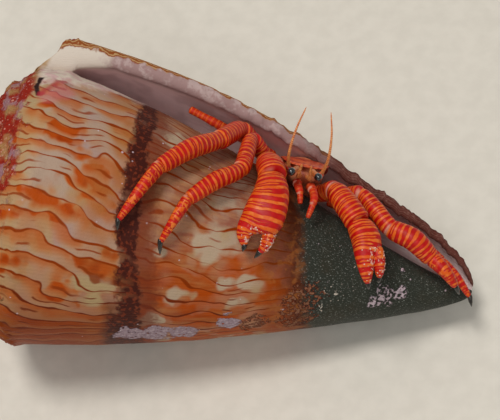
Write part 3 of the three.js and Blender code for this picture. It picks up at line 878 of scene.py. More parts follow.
    def material(self) -> bpy.types.Material:
        """Paints the whole shell, outside, lip and inside."""
        paint = Paint("cone_shell")
        turn, depth = paint.pattern()
        along = paint.times(depth, 100.0)
        colour, covered = self.growths(paint, self.flanks(paint, turn, along), turn, along)
        colour = self.notch(paint, colour, turn, along)
        rim = paint.step(turn, 1.0, 1.003)
        covered = paint.times(covered, paint.inverse(rim))
        face = self.lip(paint, turn, along)
        colour = paint.mix(rim, colour, face)
        # The hollow's walls: much paler than their own colour, as painted reflected light, and a little darker further
        # in.
        clouded = paint.step(paint.noise(5.0, 2.0, shift=103.0), 0.4, 0.62)
        near = paint.mix(paint.times(clouded, 0.35), self.inside, self.lip_mauve)
        inner = paint.mix(paint.step(turn, 1.2, 1.4), near, self.deep)
        colour = paint.mix(paint.step(turn, 1.095, 1.11), colour, inner)
        grain = paint.noise(0.5, 4.0, shift=101.0)
        roughness = paint.add(paint.between(covered, 0.44, 0.8), paint.times(paint.add(grain, -0.5), 0.18))
        growth_lines = paint.math("SINE", paint.times(turn, 1400.0))
        cords = paint.times(paint.math("SINE", paint.times(along, 4.4)), paint.step(along, 36.0, 44.0))
        relief = paint.bump(paint.add(paint.times(growth_lines, 0.3), paint.times(cords, 0.4)), 0.025)
        relief = paint.bump(paint.times(grain, paint.between(covered, 0.2, 1.6)), 0.35, relief)
        return paint.finish(colour, roughness, relief, ior=1.17)


@dataclass
class ConeShell:
    """The cone shell: a closed spiral sheet with a rolled lip and a hollow."""

    whorl: Whorl = field(default_factory=Whorl)
    finish: ShellFinish = field(default_factory=ShellFinish)
    columns: int = 372
    rows: int = 250
    round_shares: tuple[float, ...] = (0.78, 0.82, 0.93, 0.94)
    along_shares: tuple[float, ...] = (0.22, 0.29, 0.33)
    hollow_degrees: float = 265.0
    flat_depth: float = 0.35

    def rim(self, x: Array, across: Array, radii: tuple[Array, Array]) -> tuple[Array, Array]:
        """Radius and lift of the lip's rolled edge, from outside to inside."""
        outside, inner = radii
        half = (outside - inner) / 2.0
        swing = across * math.pi
        ragged = 0.35 * np.sin(x * 1.9 + 2.0 * np.sin(x * 0.63)) * smooth(14.0, 30.0, x)
        lift = np.minimum(0.4 * half * 2.0, 1.0) * (1.0 + ragged)
        return inner + half * (1.0 + np.cos(swing)), lift * np.sin(swing)

    def side_x(self, share: Array) -> Array:
        """Places the rows of the side, closer together towards the tip."""
        return self.whorl.side_length * 0.997 * np.sin(share * math.pi / 2) ** 1.1

    def shape(self, across: Array, along: Array) -> Surface:
        """The whole shell's surface, for shares of the grid.

        Args:
            across: Shares round the sheet: outside, lip, inside and back.
            along: Shares from the spire's top to the siphonal tip.

        Returns:
            The surface, with its pattern and a mask of the rough parts.
        """
        whorl = self.whorl
        a, b, c, d = self.round_shares
        turn = np.clip(across / a, 0.0, 1.0)
        roll = np.clip((across - a) / (b - a), 0.0, 1.0)
        inward = np.clip((across - b) / (c - b), 0.0, 1.0)
        bottom = np.clip((across - c) / (d - c), 0.0, 1.0)
        outward = np.clip((across - d) / (1.0 - d), 0.0, 1.0)
        p, q, s = self.along_shares
        spire = np.clip(along / p, 0.0, 1.0)
        ramp = np.clip((along - p) / (q - p), 0.0, 1.0)
        shoulder = np.clip((along - q) / (s - q), 0.0, 1.0) * math.pi / 2
        side = np.clip((along - s) / (1.0 - s), 0.0, 1.0)

        x_side = self.side_x(side)
        x_edge, r_edge = whorl.shoulder(turn)
        start = whorl.shoulder_start[1]
        r_spire = np.maximum(start * spire, 0.04)
        r_ramp = lerp(start, r_edge, ramp)
        x_ramp = lerp(whorl.spire(r_ramp, turn), x_edge, ramp)
        swell = np.sin(shoulder) ** (1.5 - turn / 2.0)
        r_shoulder = lerp(r_edge, whorl.radius(np.zeros_like(turn), turn), swell)
        kinds = [along <= p, along <= q, along <= s]
        x = np.select(kinds, [whorl.spire(r_spire, turn), x_ramp, x_edge * np.cos(shoulder)], x_side)
        radius = np.select(kinds, [r_spire, r_ramp, r_shoulder], whorl.radius(x_side, turn))

        # The other side of the sheet, where the whorl starts, closes every row.
        zero = np.zeros_like(turn)
        x0_edge, r0_edge = whorl.shoulder(zero)
        x0_ramp = lerp(whorl.spire(np.full_like(turn, start), zero), x0_edge, ramp)
        r0_shoulder = lerp(r0_edge, whorl.radius(zero, zero), np.sin(shoulder) ** 1.5)
        x0 = np.select(kinds, [whorl.spire(r_spire, zero), x0_ramp, x0_edge * np.cos(shoulder)], x_side)
        r0 = np.select(kinds, [r_spire, np.full_like(turn, start), r0_shoulder], whorl.radius(x_side, zero))

        on_side = along > s
        degrees = np.where(across <= b, 0.0, -self.hollow_degrees * np.where(across <= c, inward, 1.0 - outward))
        opened = np.clip((x_side + 0.8) / 2.4, 0.0, 1.0)
        degrees = degrees * opened
        inner, outer = whorl.hollow(x_side, degrees)
        lip_inner = np.where(on_side, whorl.hollow(x_side, zero)[1], r0)
        rim_radius, rim_lift = self.rim(x, roll, (radius, lip_inner))
        end_radius = lerp(outer, inner, (1.0 - np.cos(bottom * math.pi)) / 2.0)
        end_swing = degrees - 2.5 * np.sin(bottom * math.pi) * opened
        wall_radius = np.select([across <= c, across <= d], [outer, end_radius], inner)
        wall_radius = np.where(on_side, wall_radius, r0)

        angle = np.select(
            [across <= a, across <= b, on_side],
            [(turn - 1.0) * 360.0, zero, np.where(across <= c, degrees, np.where(across <= d, end_swing, degrees))],
            zero,
        )
        radius = np.select([across <= a, across <= b], [radius, rim_radius], wall_radius)
        x_inner = np.where(on_side, x_side, x0)
        x = np.select([across <= a, across <= b], [x, lerp(x, x0, roll)], x_inner)
        lift = np.where((across > a) & (across <= b), rim_lift, 0.0)

        turned = np.radians(angle)
        points = np.stack([x, radius * np.cos(turned), radius * np.sin(turned) + lift], axis=1)
        crusted = smooth(1.5, -1.0, x) * smooth(b, a, across)
        points = self.weathered(points, turned, crusted, across, x)

        grown = (x - x_edge) / (1.0 + 0.5 * turn)
        depth = np.select([along <= p, along <= q], [r_spire - r_edge, (r_ramp - r_edge)], grown)
        code = np.select(
            [across <= a, across <= b, across <= c],
            [turn, 1.0 + 0.1 * roll, 1.1 + 0.4 * inward],
            1.5 + 0.4 * outward,
        )
        pattern = np.stack([code, depth / 100.0], axis=1)
        return Surface(points, pattern)

    def weathered(self, points: Array, turned: Array, crusted: Array, across: Array, x: Array) -> Array:
        """Roughens the surface: fine wear all over, lumps where it is encrusted."""
        outside = smooth(self.round_shares[1], self.round_shares[0], across)
        fine = lumps(points, 5.0, 3) * 0.1
        crust = np.abs(lumps(points + 40.0, 2.2, 4)) * 0.75
        scallop = lumps(np.stack([x, x * 0, x * 0], axis=1), 1.5, 4) * 0.5
        bearing = (np.degrees(turned) + 180.0) % 360.0 - 180.0
        mound = 2.0 * np.exp(-(((bearing - 12.0) / 28.0) ** 2)) * smooth(0.5, -3.0, x)
        near_lip = smooth(-8.0, 0.0, np.degrees(turned)) * smooth(18.0, 34.0, x) * smooth(0.9, 0.8, across)
        push = outside * fine + crusted * crust + near_lip * scallop
        outward = np.stack([np.zeros_like(turned), np.cos(turned), np.sin(turned)], axis=1)
        spire_up = smooth(-2.0, -6.0, x)[:, None]
        outward = outward * (1.0 - spire_up) + np.array([[-1.0, 0.0, 0.0]]) * spire_up
        points = points + outward * push[:, None]
        mound = mound * smooth(23.6, 20.0, np.hypot(points[:, 1], points[:, 2]))
        points[:, 0] -= mound * smooth(self.round_shares[2], self.round_shares[1], across)
        return points

    def build(self) -> bpy.types.Object:
        """Makes the shell and presses its flat on to the floor."""
        piece = wrapped_grid("cone_shell", self.columns, self.rows, self.shape)
        mesh = piece.data
        flat = np.empty(len(mesh.vertices) * 3, np.float32)
        mesh.vertices.foreach_get("co", flat)
        points = flat.reshape(-1, 3)
        points[:, 2] = np.maximum(points[:, 2], 0.0)
        mesh.vertices.foreach_set("co", points.ravel())
        mesh.update()
        return finish_piece(piece, self.finish.material(), ["shell"])


# ------------------------------------------------------------ limb finishes ----


class Rings(Enum):
    """How a limb's rings are drawn."""

    REGULAR = "regular"
    BLOTCHED = "blotched"
    FAINT = "faint"


@dataclass(frozen=True)
class BandedFinish:
    """Crimson and orange rings round a limb, with pale skin at its joints."""

    name: str
    rings: Rings = Rings.REGULAR
    period_mm: float = 0.92
    orange_share: float = 0.38
    forks: float = 1.2
    crimson: Colour = hex_colour("b40608")
    scarlet: Colour = hex_colour("c60e0a")
    orange: Colour = hex_colour("dc580e")
    apricot: Colour = hex_colour("e47428")
    skin: Colour = hex_colour("dca088")
    chalk: Colour = hex_colour("ecd2c2")

    def orange_rings(self, paint: Paint, around: Socket, along: Socket) -> Socket:
        """A mask of the orange rings, with short ones forking off between them."""
        sway = paint.times(paint.add(paint.noise(4.0, 0.5), -0.5), 1.1)
        shiver = paint.times(paint.add(paint.noise(0.9, 1.0, shift=9.0), -0.5), 0.2)
        swing = paint.times(around, 2.0 * math.pi)
        slant = paint.times(paint.math("SINE", swing), 0.15)
        phase = paint.add(paint.times(along, 1.0 / self.period_mm), sway, shiver, slant)
        gap = paint.math("PINGPONG", phase, 0.5)
        swell = paint.times(paint.add(paint.noise(2.0, 1.0, shift=13.0), -0.5), 0.22)
        edge = paint.math("SUBTRACT", gap, paint.add(0.5 * self.orange_share, swell))
        main = paint.step(edge, 0.05, -0.05)
        middle = paint.math("PINGPONG", paint.add(phase, 0.5), 0.5)
        place = paint.join(
            paint.times(paint.math("COSINE", swing), 0.7),
            paint.times(paint.math("SINE", swing), 0.7),
            paint.times(paint.math("FLOOR", phase), 5.7),
        )
        taper = paint.times(paint.add(paint.noise(1.0, 0.0, place), -0.55), self.forks)
        short = paint.step(paint.math("SUBTRACT", middle, paint.math("MINIMUM", taper, 0.11)), 0.03, -0.04)
        return paint.math("MAXIMUM", main, short)

    def material(self) -> bpy.types.Material:
        """Paints the rings from the limb's own pattern coordinates."""
        paint = Paint(self.name)
        around, depth = paint.pattern()
        pale_ring = self.orange_rings(paint, around, paint.times(depth, 100.0))
        if self.rings is Rings.BLOTCHED:
            breaks = paint.step(paint.noise(0.9, 1.0, shift=17.0), 0.5, 0.6)
            blots = paint.step(paint.noise(0.8, 1.0, shift=18.0), 0.57, 0.62)
            pale_ring = paint.math("MAXIMUM", paint.times(pale_ring, paint.between(breaks, 1.0, 0.25)), blots)
        if self.rings is Rings.FAINT:
            pale_ring = paint.between(pale_ring, 0.2, 0.7)
        red = paint.mix(paint.step(paint.noise(1.2, 2.0, shift=21.0), 0.4, 0.62), self.crimson, self.scarlet)
        yellow = paint.mix(paint.step(paint.noise(0.8, 2.0, shift=25.0), 0.42, 0.66), self.orange, self.apricot)
        colour = paint.mix(pale_ring, red, yellow)
        pale = paint.mask("pale")
        colour = paint.mix(paint.times(pale, 0.7), colour, self.skin)
        chalky = paint.times(paint.mask("chalk"), paint.step(paint.noise(0.4, 1.5, shift=27.0), 0.53, 0.6), 0.8)
        colour = paint.mix(chalky, colour, self.chalk)
        grain = paint.noise(0.14, 2.0, shift=29.0)
        roughness = paint.add(paint.between(pale_ring, 0.46, 0.4), paint.times(paint.add(grain, -0.5), 0.14))
        relief = paint.bump(pale_ring, 0.06)
        relief = paint.bump(grain, 0.03, relief)
        return paint.finish(colour, roughness, relief, coat=0.03, coat_roughness=0.25, ior=1.35)


@dataclass(frozen=True)
class PlainFinish:
    """One tissue with mottled colour and fine relief, such as horn or skin."""

    name: str
    dark: Colour
    light: Colour
    mottle_mm: float = 1.0
    grain_mm: float = 0.2
    grain_depth_mm: float = 0.03
    roughness: float = 0.4
    coat: float = 0.2
    ring_mm: float = 0.0

    def material(self) -> bpy.types.Material:
        """Paints the tissue, with fine rings along it where it has them."""
        paint = Paint(self.name)
        mottle = paint.step(paint.noise(self.mottle_mm, 3.0), 0.38, 0.62)
        grain = paint.noise(self.grain_mm, 3.0, shift=3.0)
        height = grain
        if self.ring_mm > 0.0:
            _, depth = paint.pattern()
            phase = paint.times(depth, 100.0 * 2.0 * math.pi / self.ring_mm)
            ring = paint.math("MULTIPLY_ADD", paint.math("SINE", phase), 0.5, 0.5)
            mottle = paint.times(paint.add(mottle, ring), 0.5)
            height = paint.add(grain, ring)
        colour = paint.mix(mottle, self.dark, self.light)
        rough = paint.add(self.roughness, paint.times(paint.add(grain, -0.5), 0.2))
        relief = paint.bump(height, self.grain_depth_mm)
        return paint.finish(colour, rough, relief, coat=self.coat, coat_roughness=0.15)


@dataclass(frozen=True)
class EyeFinish:
    """A dark compound eye with its facets."""

    dark: Colour = hex_colour("07080c")
    glint: Colour = hex_colour("1c2a33")

    def material(self) -> bpy.types.Material:
        """Paints the eye: faceted, nearly black and wet."""
        paint = Paint("compound_eye")
        facet = paint.cells(0.07)
        colour = paint.mix(paint.step(paint.noise(0.8), 0.45, 0.7), self.dark, self.glint)
        relief = paint.bump(facet, 0.008)
        rough = paint.between(facet, 0.08, 0.2)
        return paint.finish(colour, rough, relief, coat=1.0, coat_roughness=0.05)


# ------------------------------------------------------------------- limbs ----


def spline(joints: Sequence[Point], count: int) -> Array:
    """A smooth line through the joints, at even steps along its length.

    Args:
        joints: Places in millimetres.
        count: How many points to give back.

    Returns:
        A (count, 3) array.
    """
    knots = [np.array(j, float) for j in joints]
    knots = [2 * knots[0] - knots[1], *knots, 2 * knots[-1] - knots[-2]]
    fine: list[Array] = []
    for p0, p1, p2, p3 in zip(knots, knots[1:], knots[2:], knots[3:]):
        t1 = np.linalg.norm(p1 - p0) ** 0.5
        t2 = t1 + np.linalg.norm(p2 - p1) ** 0.5
        t3 = t2 + np.linalg.norm(p3 - p2) ** 0.5
        for t in np.linspace(t1, t2, 24, endpoint=False):
            a1 = lerp(p0, p1, t / t1)
            a2 = lerp(p1, p2, (t - t1) / (t2 - t1))
            a3 = lerp(p2, p3, (t - t2) / (t3 - t2))
            b1 = lerp(a1, a2, t / t2)
            b2 = lerp(a2, a3, (t - t1) / (t3 - t1))
            fine.append(lerp(b1, b2, (t - t1) / (t2 - t1)))
    fine.append(knots[-2])
    line = np.array(fine)
    walked = np.concatenate([[0.0], np.cumsum(np.linalg.norm(np.diff(line, axis=0), axis=1))])
    wanted = np.linspace(0.0, walked[-1], count)
    return np.stack([np.interp(wanted, walked, line[:, k]) for k in range(3)], axis=1)


def arched(joints: Sequence[Point], heights: Sequence[float]) -> list[Point]:
    """Adds a middle to each length, pushed out from the shell's axis."""
    line: list[Point] = [joints[0]]
    for start, stop, height in zip(joints, joints[1:], heights):
        middle = (np.array(start) + np.array(stop)) / 2.0
        outward = middle * np.array([0.0, 1.0, 1.0])
        middle += outward / np.linalg.norm(outward) * height
        line += [tuple(middle), stop]
    return line


@dataclass
class Tube:
    """A limb or a part of one: a line with a girth that changes along it.

    Each profile is a list of (share of the length, half size in millimetres).
    The two sides of the tube may differ, which lets a hand run out into a finger.
    """

    name: str
    line: Sequence[Point]
    near: Sequence[tuple[float, float]]
    far: Sequence[tuple[float, float]] | None = None
    deep: Sequence[tuple[float, float]] | None = None
    side: Point = (1.0, 0.6, 0.0)
    pale: Sequence[float] = ()
    pale_reach: float = 0.014
    pale_side: float = 0.42
    chalk: tuple[float, float] = (2.0, 3.0)
    columns: int = 40
    rows: int = 150
    ring_relief: float = 0.0
    period_mm: float = 0.95
    square: float = 2.0
    lean: float = 0.0

    def frames(self, count: int) -> tuple[Array, Array, Array, float]:
        """Places, side directions and other directions along the line."""
        middle = spline(self.line, count)
        tangent = np.gradient(middle, axis=0)
        tangent /= np.linalg.norm(tangent, axis=1)[:, None]
        side = np.array(self.side, float)[None, :] - tangent * (tangent @ np.array(self.side, float))[:, None]
        side /= np.linalg.norm(side, axis=1)[:, None]
        length = float(np.linalg.norm(np.diff(middle, axis=0), axis=1).sum())
        return middle, side, np.cross(tangent, side), length

    def shape(self, across: Array, along: Array) -> Surface:
        """The tube's surface, for shares of the grid."""
        count = self.rows + 1
        middle, side, other, length = self.frames(count)
        row = np.rint(along * self.rows).astype(int)
        angle = across * 2.0 * math.pi
        far = self.far or self.near
        deep = self.deep or self.near
        right = np.interp(along, *zip(*self.near))
        left = np.interp(along, *zip(*far))
        thick = np.interp(along, *zip(*deep))
        wide = np.where(np.cos(angle) >= 0.0, right, left)
        cosine = np.sign(np.cos(angle)) * np.abs(np.cos(angle)) ** (2.0 / self.square)
        sine = np.sign(np.sin(angle)) * np.abs(np.sin(angle)) ** (2.0 / self.square)
        ripple = 1.0 + self.ring_relief * np.cos(along * length / self.period_mm * 2.0 * math.pi)
        points = (
            middle[row]
            + side[row] * (cosine * wide * ripple)[:, None]
            + other[row] * (sine * thick * ripple)[:, None]
        )
        pale = np.zeros_like(along)
        for joint in self.pale:
            pale = np.maximum(pale, 1.0 - smooth(0.45, 1.0, np.abs(along - joint) / self.pale_reach))
        pale = pale * smooth(0.1, 0.75, np.cos(angle - self.pale_side * 2.0 * math.pi))
        chalk = smooth(*self.chalk, along) * smooth(-0.3, 0.6, np.cos(angle))
        drawn = along * length + self.lean * cosine * wide
        pattern = np.stack([across, drawn / 100.0], axis=1)
        return Surface(points, pattern, {"pale": pale, "chalk": chalk})

    def build(self) -> bpy.types.Object:
        """Makes the tube's mesh."""
        return wrapped_grid(self.name, self.columns, self.rows, self.shape)


def segment_profile(shares: Sequence[float], girths: Sequence[tuple[float, float, float]]) -> Profile:
    """The half width along a jointed limb, with a neck of skin at each joint.

    Args:
        shares: Where the joints are along the limb, both ends included.
        girths: For each segment its half width at its root, middle and end.

    Returns:
        The profile, closed at both ends.
    """
    profile: Profile = [(0.0, 0.0)]
    for start, stop, (root, middle, end) in zip(shares, shares[1:], girths):
        first = start == shares[0]
        last = stop == shares[-1]
        span = stop - start
        for share, girth in (
            (0.0, 0.0 if first else 0.87 * root),
            (0.03, 0.93 * root),
            (0.1, root),
            (0.3, lerp(root, middle, 0.7)),
            (0.5, middle),
            (0.75, lerp(middle, end, 0.45)),
            (0.93, 1.03 * end),
            (0.975, end if not last else 0.93 * end),
            (1.0, 0.87 * end if not last else 0.0),
        ):
            profile.append((start + span * share, girth))
    return rounded(profile)


def rounded(profile: Profile, steps: int = 300) -> Profile:
    """The same profile with its corners eased."""
    shares = np.linspace(0.0, 1.0, steps)
    raw = np.interp(shares, *zip(*profile))
    kernel = np.array([1.0, 2.0, 3.0, 2.0, 1.0]) / 9.0
    eased = np.convolve(np.pad(raw, 2, mode="edge"), kernel, mode="valid")
    eased[0] = raw[0]
    eased[-1] = raw[-1]
    return list(zip(shares.tolist(), eased.tolist()))


def joint_shares(joints: Sequence[Point], heights: Sequence[float]) -> list[float]:
    """Where each joint falls along the arched line, as shares of its length."""
    line = arched(joints, heights)
    lengths = []
    dense = spline(line, 600)
    walked = np.concatenate([[0.0], np.cumsum(np.linalg.norm(np.diff(dense, axis=0), axis=1))])
    for joint in joints:
        nearest = int(np.argmin(np.linalg.norm(dense - np.array(joint), axis=1)))
        lengths.append(walked[nearest] / walked[-1])
    lengths[0] = 0.0
    lengths[-1] = 1.0
    return lengths


@dataclass
class WalkingLeg:
    """A walking leg of four ringed segments and a black horny tip."""

    name: str
    joints: Sequence[Point]
    tip: Point
    girth: float
    carpus: float = 1.0
    arches: Sequence[float] = (0.0, 0.2, 1.0, 0.9)

    def upper(self) -> Tube:
        """The three upper segments, as one skin."""
        g = self.girth
        joints = list(self.joints[:4])
        shares = joint_shares(joints, self.arches[:3])
        c = g * self.carpus
        girths = [(1.2 * c, 1.35 * c, 1.4 * c), (1.3 * c, 1.45 * c, 1.45 * c), (1.34 * g, 1.48 * g, 1.18 * g)]
        profile = segment_profile(shares, girths)
        return Tube(
            f"{self.name}_upper",
            arched(joints, self.arches[:3]),
            profile,
            deep=[(s, r * 1.06) for s, r in profile],
            pale=shares[1:],
            rows=190,
            ring_relief=0.012,
        )

    def dactyl(self) -> Tube:
        """The last segment, rooted inside the one before it."""
        knee, end = (np.array(j, float) for j in self.joints[3:])
        root = knee - (end - knee) * 0.06
        girth = self.girth
        profile = rounded([
            (0.0, 0.0), (0.01, 0.9 * girth), (0.08, 1.03 * girth), (0.2, girth), (0.5, 0.86 * girth),
            (0.8, 0.64 * girth), (0.95, 0.46 * girth + 0.02), (1.0, 0.3),
        ])
        return Tube(
            f"{self.name}_dactyl_banded",
            arched([tuple(root), tuple(end)], self.arches[3:]),
            profile,
            deep=[(s, r * 1.12) for s, r in profile],
            pale=(0.05,),
            pale_reach=0.03,
            rows=100,
            ring_relief=0.01,
        )

    def build(self, ringed: bpy.types.Material, blotched: bpy.types.Material, horn: bpy.types.Material) -> None:
        """Makes the leg's banded skin, its last segment and its claw."""
        parts = ("merus", "carpus", "propodus")
        finish_piece(self.upper().build(), ringed, [f"{self.name}_{part}" for part in parts])
        finish_piece(self.dactyl().build(), blotched, [f"{self.name}_dactyl"])
        claw = horn_tip(f"{self.name}_claw_horn", self.joints[-1], self.tip, 0.42)
        finish_piece(claw, horn, [f"{self.name}_claw"])


def horn_tip(name: str, root: Point, tip: Point, girth: float) -> bpy.types.Object:
    """A curved black point, sunk a little into what it grows from."""
    start, stop = np.array(root), np.array(tip)
    back = start - (stop - start) * 0.3
    middle = (start + stop) / 2.0
    middle += middle * np.array([0.0, 1.0, 1.0]) / np.linalg.norm(middle[1:]) * 0.14
    profile = rounded([
        (0.0, 0.0), (0.03, 0.85 * girth), (0.25, girth), (0.6, 0.72 * girth), (0.9, 0.3 * girth), (1.0, 0.03),
    ])
    return Tube(name, [tuple(back), tuple(middle), tuple(stop)], profile, columns=20, rows=30).build()


@dataclass
class Pincer:
    """An arm that ends in a hand with a fixed and a moving finger.

    The hand's two outlines are half widths in millimetres, against the share of
    the way from the wrist to the end of the fixed finger.
    """

    name: str
    joints: Sequence[Point]
    bend: Sequence[Point]
    across: Point
    wrist: float
    fixed_side: Profile
    open_side: Profile
    thickness: Profile
    fixed_root: Point
    fixed_tip: Point
    moving: Sequence[Point]
    moving_tip: Point
    moving_girth: float
    fork_share: float
    lean: float

    def arm(self, ringed: bpy.types.Material) -> None:
        """Makes the two upper segments as one ringed skin."""
        joints = list(self.joints)
        heights = (0.0, 0.35)
        shares = joint_shares(joints, heights)
        girths = [(1.4, 1.5, 1.65), (1.75, 0.98 * self.wrist, 0.98 * self.wrist)]
        profile = segment_profile(shares, girths)
        arm = Tube(
            f"{self.name}_arm",
            arched(joints, heights),
            profile,
            deep=[(s, r * 0.94) for s, r in profile],
            side=self.across,
            pale=shares[1:],
            rows=120,
            columns=48,
            ring_relief=0.01,
        ).build()
        finish_piece(arm, ringed, [f"{self.name}_merus", f"{self.name}_carpus"])

    def hand(self) -> Tube:
        """The palm, which runs out into the fixed finger on one side."""
        wrist = np.array(self.joints[-1], float)
        root, tip = np.array(self.fixed_root, float), np.array(self.fixed_tip, float)
        start = wrist - (wrist - np.array(self.joints[-2])) * 0.03
        return Tube(
            f"{self.name}_hand",
            [tuple(start), *self.bend, tuple(lerp(root, tip, 0.2))],
            rounded(self.open_side),
            far=rounded(self.fixed_side),
            deep=rounded(self.thickness),
            side=self.across,
            pale=(0.0,),
            pale_reach=0.03,
            chalk=(self.fork_share - 0.08, self.fork_share + 0.08),
            rows=180,
            columns=80,
            ring_relief=0.006,
            period_mm=1.05,
            square=2.25,
            lean=self.lean,
        )

    def moving_finger(self) -> Tube:
        """The finger that closes on the fixed one."""
        g = self.moving_girth
        profile = rounded([
            (0.0, 0.0), (0.02, 0.7 * g), (0.08, 0.96 * g), (0.3, 1.05 * g), (0.6, 0.95 * g),
            (0.85, 0.66 * g), (0.96, 0.44 * g), (1.0, 0.26),
        ])
        return Tube(
            f"{self.name}_moving_finger",
            self.moving,
            profile,
            deep=[(s, r * 1.1) for s, r in profile],
            side=self.across,
            pale=(0.02,),
            pale_reach=0.06,
            chalk=(0.1, 0.5),
            rows=80,
        )

    def granules(self, pale: bpy.types.Material) -> None:
        """Sets pale grains on the moving finger and on the palm behind it."""
        chance = np.random.default_rng(len(self.name))
        grains = []
        for tube, count, across, along in (
            (self.moving_finger(), 18, (0.02, 0.46), (0.15, 0.85)),
            (self.hand(), 7, (0.04, 0.2), (self.fork_share - 0.05, self.fork_share)),
            (self.hand(), 7, (0.2, 0.34), (self.fork_share, 0.93)),
        ):
            round_shares = chance.uniform(*across, count)
            long_shares = chance.uniform(*along, count)
            sizes = chance.uniform(0.06, 0.13, count)
            places = POSE.place(tube.shape(round_shares, long_shares).points)
            for place, size in zip(places, sizes):
                bpy.ops.mesh.primitive_ico_sphere_add(subdivisions=2, radius=size * MM, location=tuple(place))
                grains.append(bpy.context.object)
        joined = join(f"{self.name}_granules", grains)
        bpy.ops.object.transform_apply(location=True, rotation=True, scale=True)
        bpy.ops.object.shade_smooth()
        finish_piece(joined, pale, [])

    def build(
        self,
        ringed: bpy.types.Material,
        broad: bpy.types.Material,
        blotched: bpy.types.Material,
        horn: bpy.types.Material,
        pale: bpy.types.Material,
    ) -> None:
        """Makes the whole arm, with the grains and black tips of its fingers."""
        self.arm(ringed)
        finish_piece(self.hand().build(), broad, [f"{self.name}_palm"])
        finish_piece(self.moving_finger().build(), blotched, [f"{self.name}_finger"])
        self.granules(pale)
        fixed = horn_tip(f"{self.name}_fixed_horn", self.fixed_root, self.fixed_tip, 0.45)
        finish_piece(fixed, horn, [f"{self.name}_palm_tip"])
        moving = horn_tip(f"{self.name}_moving_horn", self.moving[-1], self.moving_tip, 0.45)
        finish_piece(moving, horn, [f"{self.name}_finger_tip"])


# -------------------------------------------------------------------- body ----


@dataclass
class Body:
    """The crab's trunk: a soft body in the hollow, a shield and a tail fan."""

    whorl: Whorl
    middle_x: float = 38.7

    def inside(self, x: float, degrees: float, share: float) -> Point:
        """A place in the hollow, a share of the way from inner to outer wall."""
        inner, outer = self.whorl.hollow(np.array([x]), np.array([degrees]))
        radius = float(lerp(inner, outer, share)[0])
        angle = math.radians(degrees)
        return (x, radius * math.cos(angle), radius * math.sin(angle))

    def lying(self, stations: Sequence[tuple[float, float, float]]) -> list[Point]:
        """A line through the hollow, from (x, degrees, share) stations."""
        return [self.inside(*station) for station in stations]

    def build(self, skin: bpy.types.Material, plate: bpy.types.Material) -> None:
        """Makes the trunk's pieces."""
        trunk = Tube(
            "soft_body",
            self.lying([
                (38.7, 17.0, 0.52), (38.4, -8.0, 0.5), (37.7, -34.0, 0.48), (36.0, -62.0, 0.47),
                (33.0, -92.0, 0.46), (29.0, -128.0, 0.46), (24.0, -160.0, 0.46),
            ]),
            rounded([(0.0, 0.0), (0.02, 2.2), (0.08, 3.2), (0.2, 4.0), (0.32, 3.7), (0.55, 4.2), (0.8, 3.4),
                     (0.95, 2.2), (0.99, 1.4), (1.0, 0.0)]),
            deep=rounded([(0.0, 0.0), (0.02, 1.6), (0.08, 2.5), (0.2, 2.9), (0.32, 2.6), (0.55, 2.0), (0.8, 1.3),
                          (0.95, 1.0), (0.99, 0.6), (1.0, 0.0)]),
            side=(1.0, 0.0, 0.0),
            rows=140,
            columns=48,
            ring_relief=0.02,
            period_mm=1.6,
        ).build()
        nodes = ["head", "thorax", "abdomen_front", "abdomen_rear"]
        finish_piece(trunk, skin, nodes)
        shield = Tube(
            "shield_plate",
            self.lying([(38.7, 21.0, 0.74), (38.7, 0.0, 0.8), (38.7, -22.0, 0.83)]),
            rounded([(0.0, 0.0), (0.02, 1.6), (0.1, 2.9), (0.3, 3.7), (0.7, 4.3), (0.92, 3.9), (0.98, 2.8), (1.0, 0.0)]),
            deep=rounded([(0.0, 0.0), (0.05, 0.3), (0.3, 0.45), (0.9, 0.45), (1.0, 0.0)]),
            side=(1.0, 0.0, 0.0),
            rows=70,
            columns=56,
        ).build()
        finish_piece(shield, plate, ["shield"])
        fan = Tube(
            "tail_fan_plates",
            self.lying([(23.6, -162.5, 0.46), (22.6, -169.0, 0.46), (21.5, -176.0, 0.46)]),
            rounded([(0.0, 0.0), (0.05, 1.3), (0.4, 1.9), (0.9, 1.2), (1.0, 0.0)]),
            deep=rounded([(0.0, 0.0), (0.05, 0.6), (0.4, 0.9), (0.9, 0.5), (1.0, 0.0)]),
            side=(1.0, 0.0, 0.0),
            rows=40,
            columns=32,
        ).build()
        finish_piece(fan, plate, ["tail_fan"])


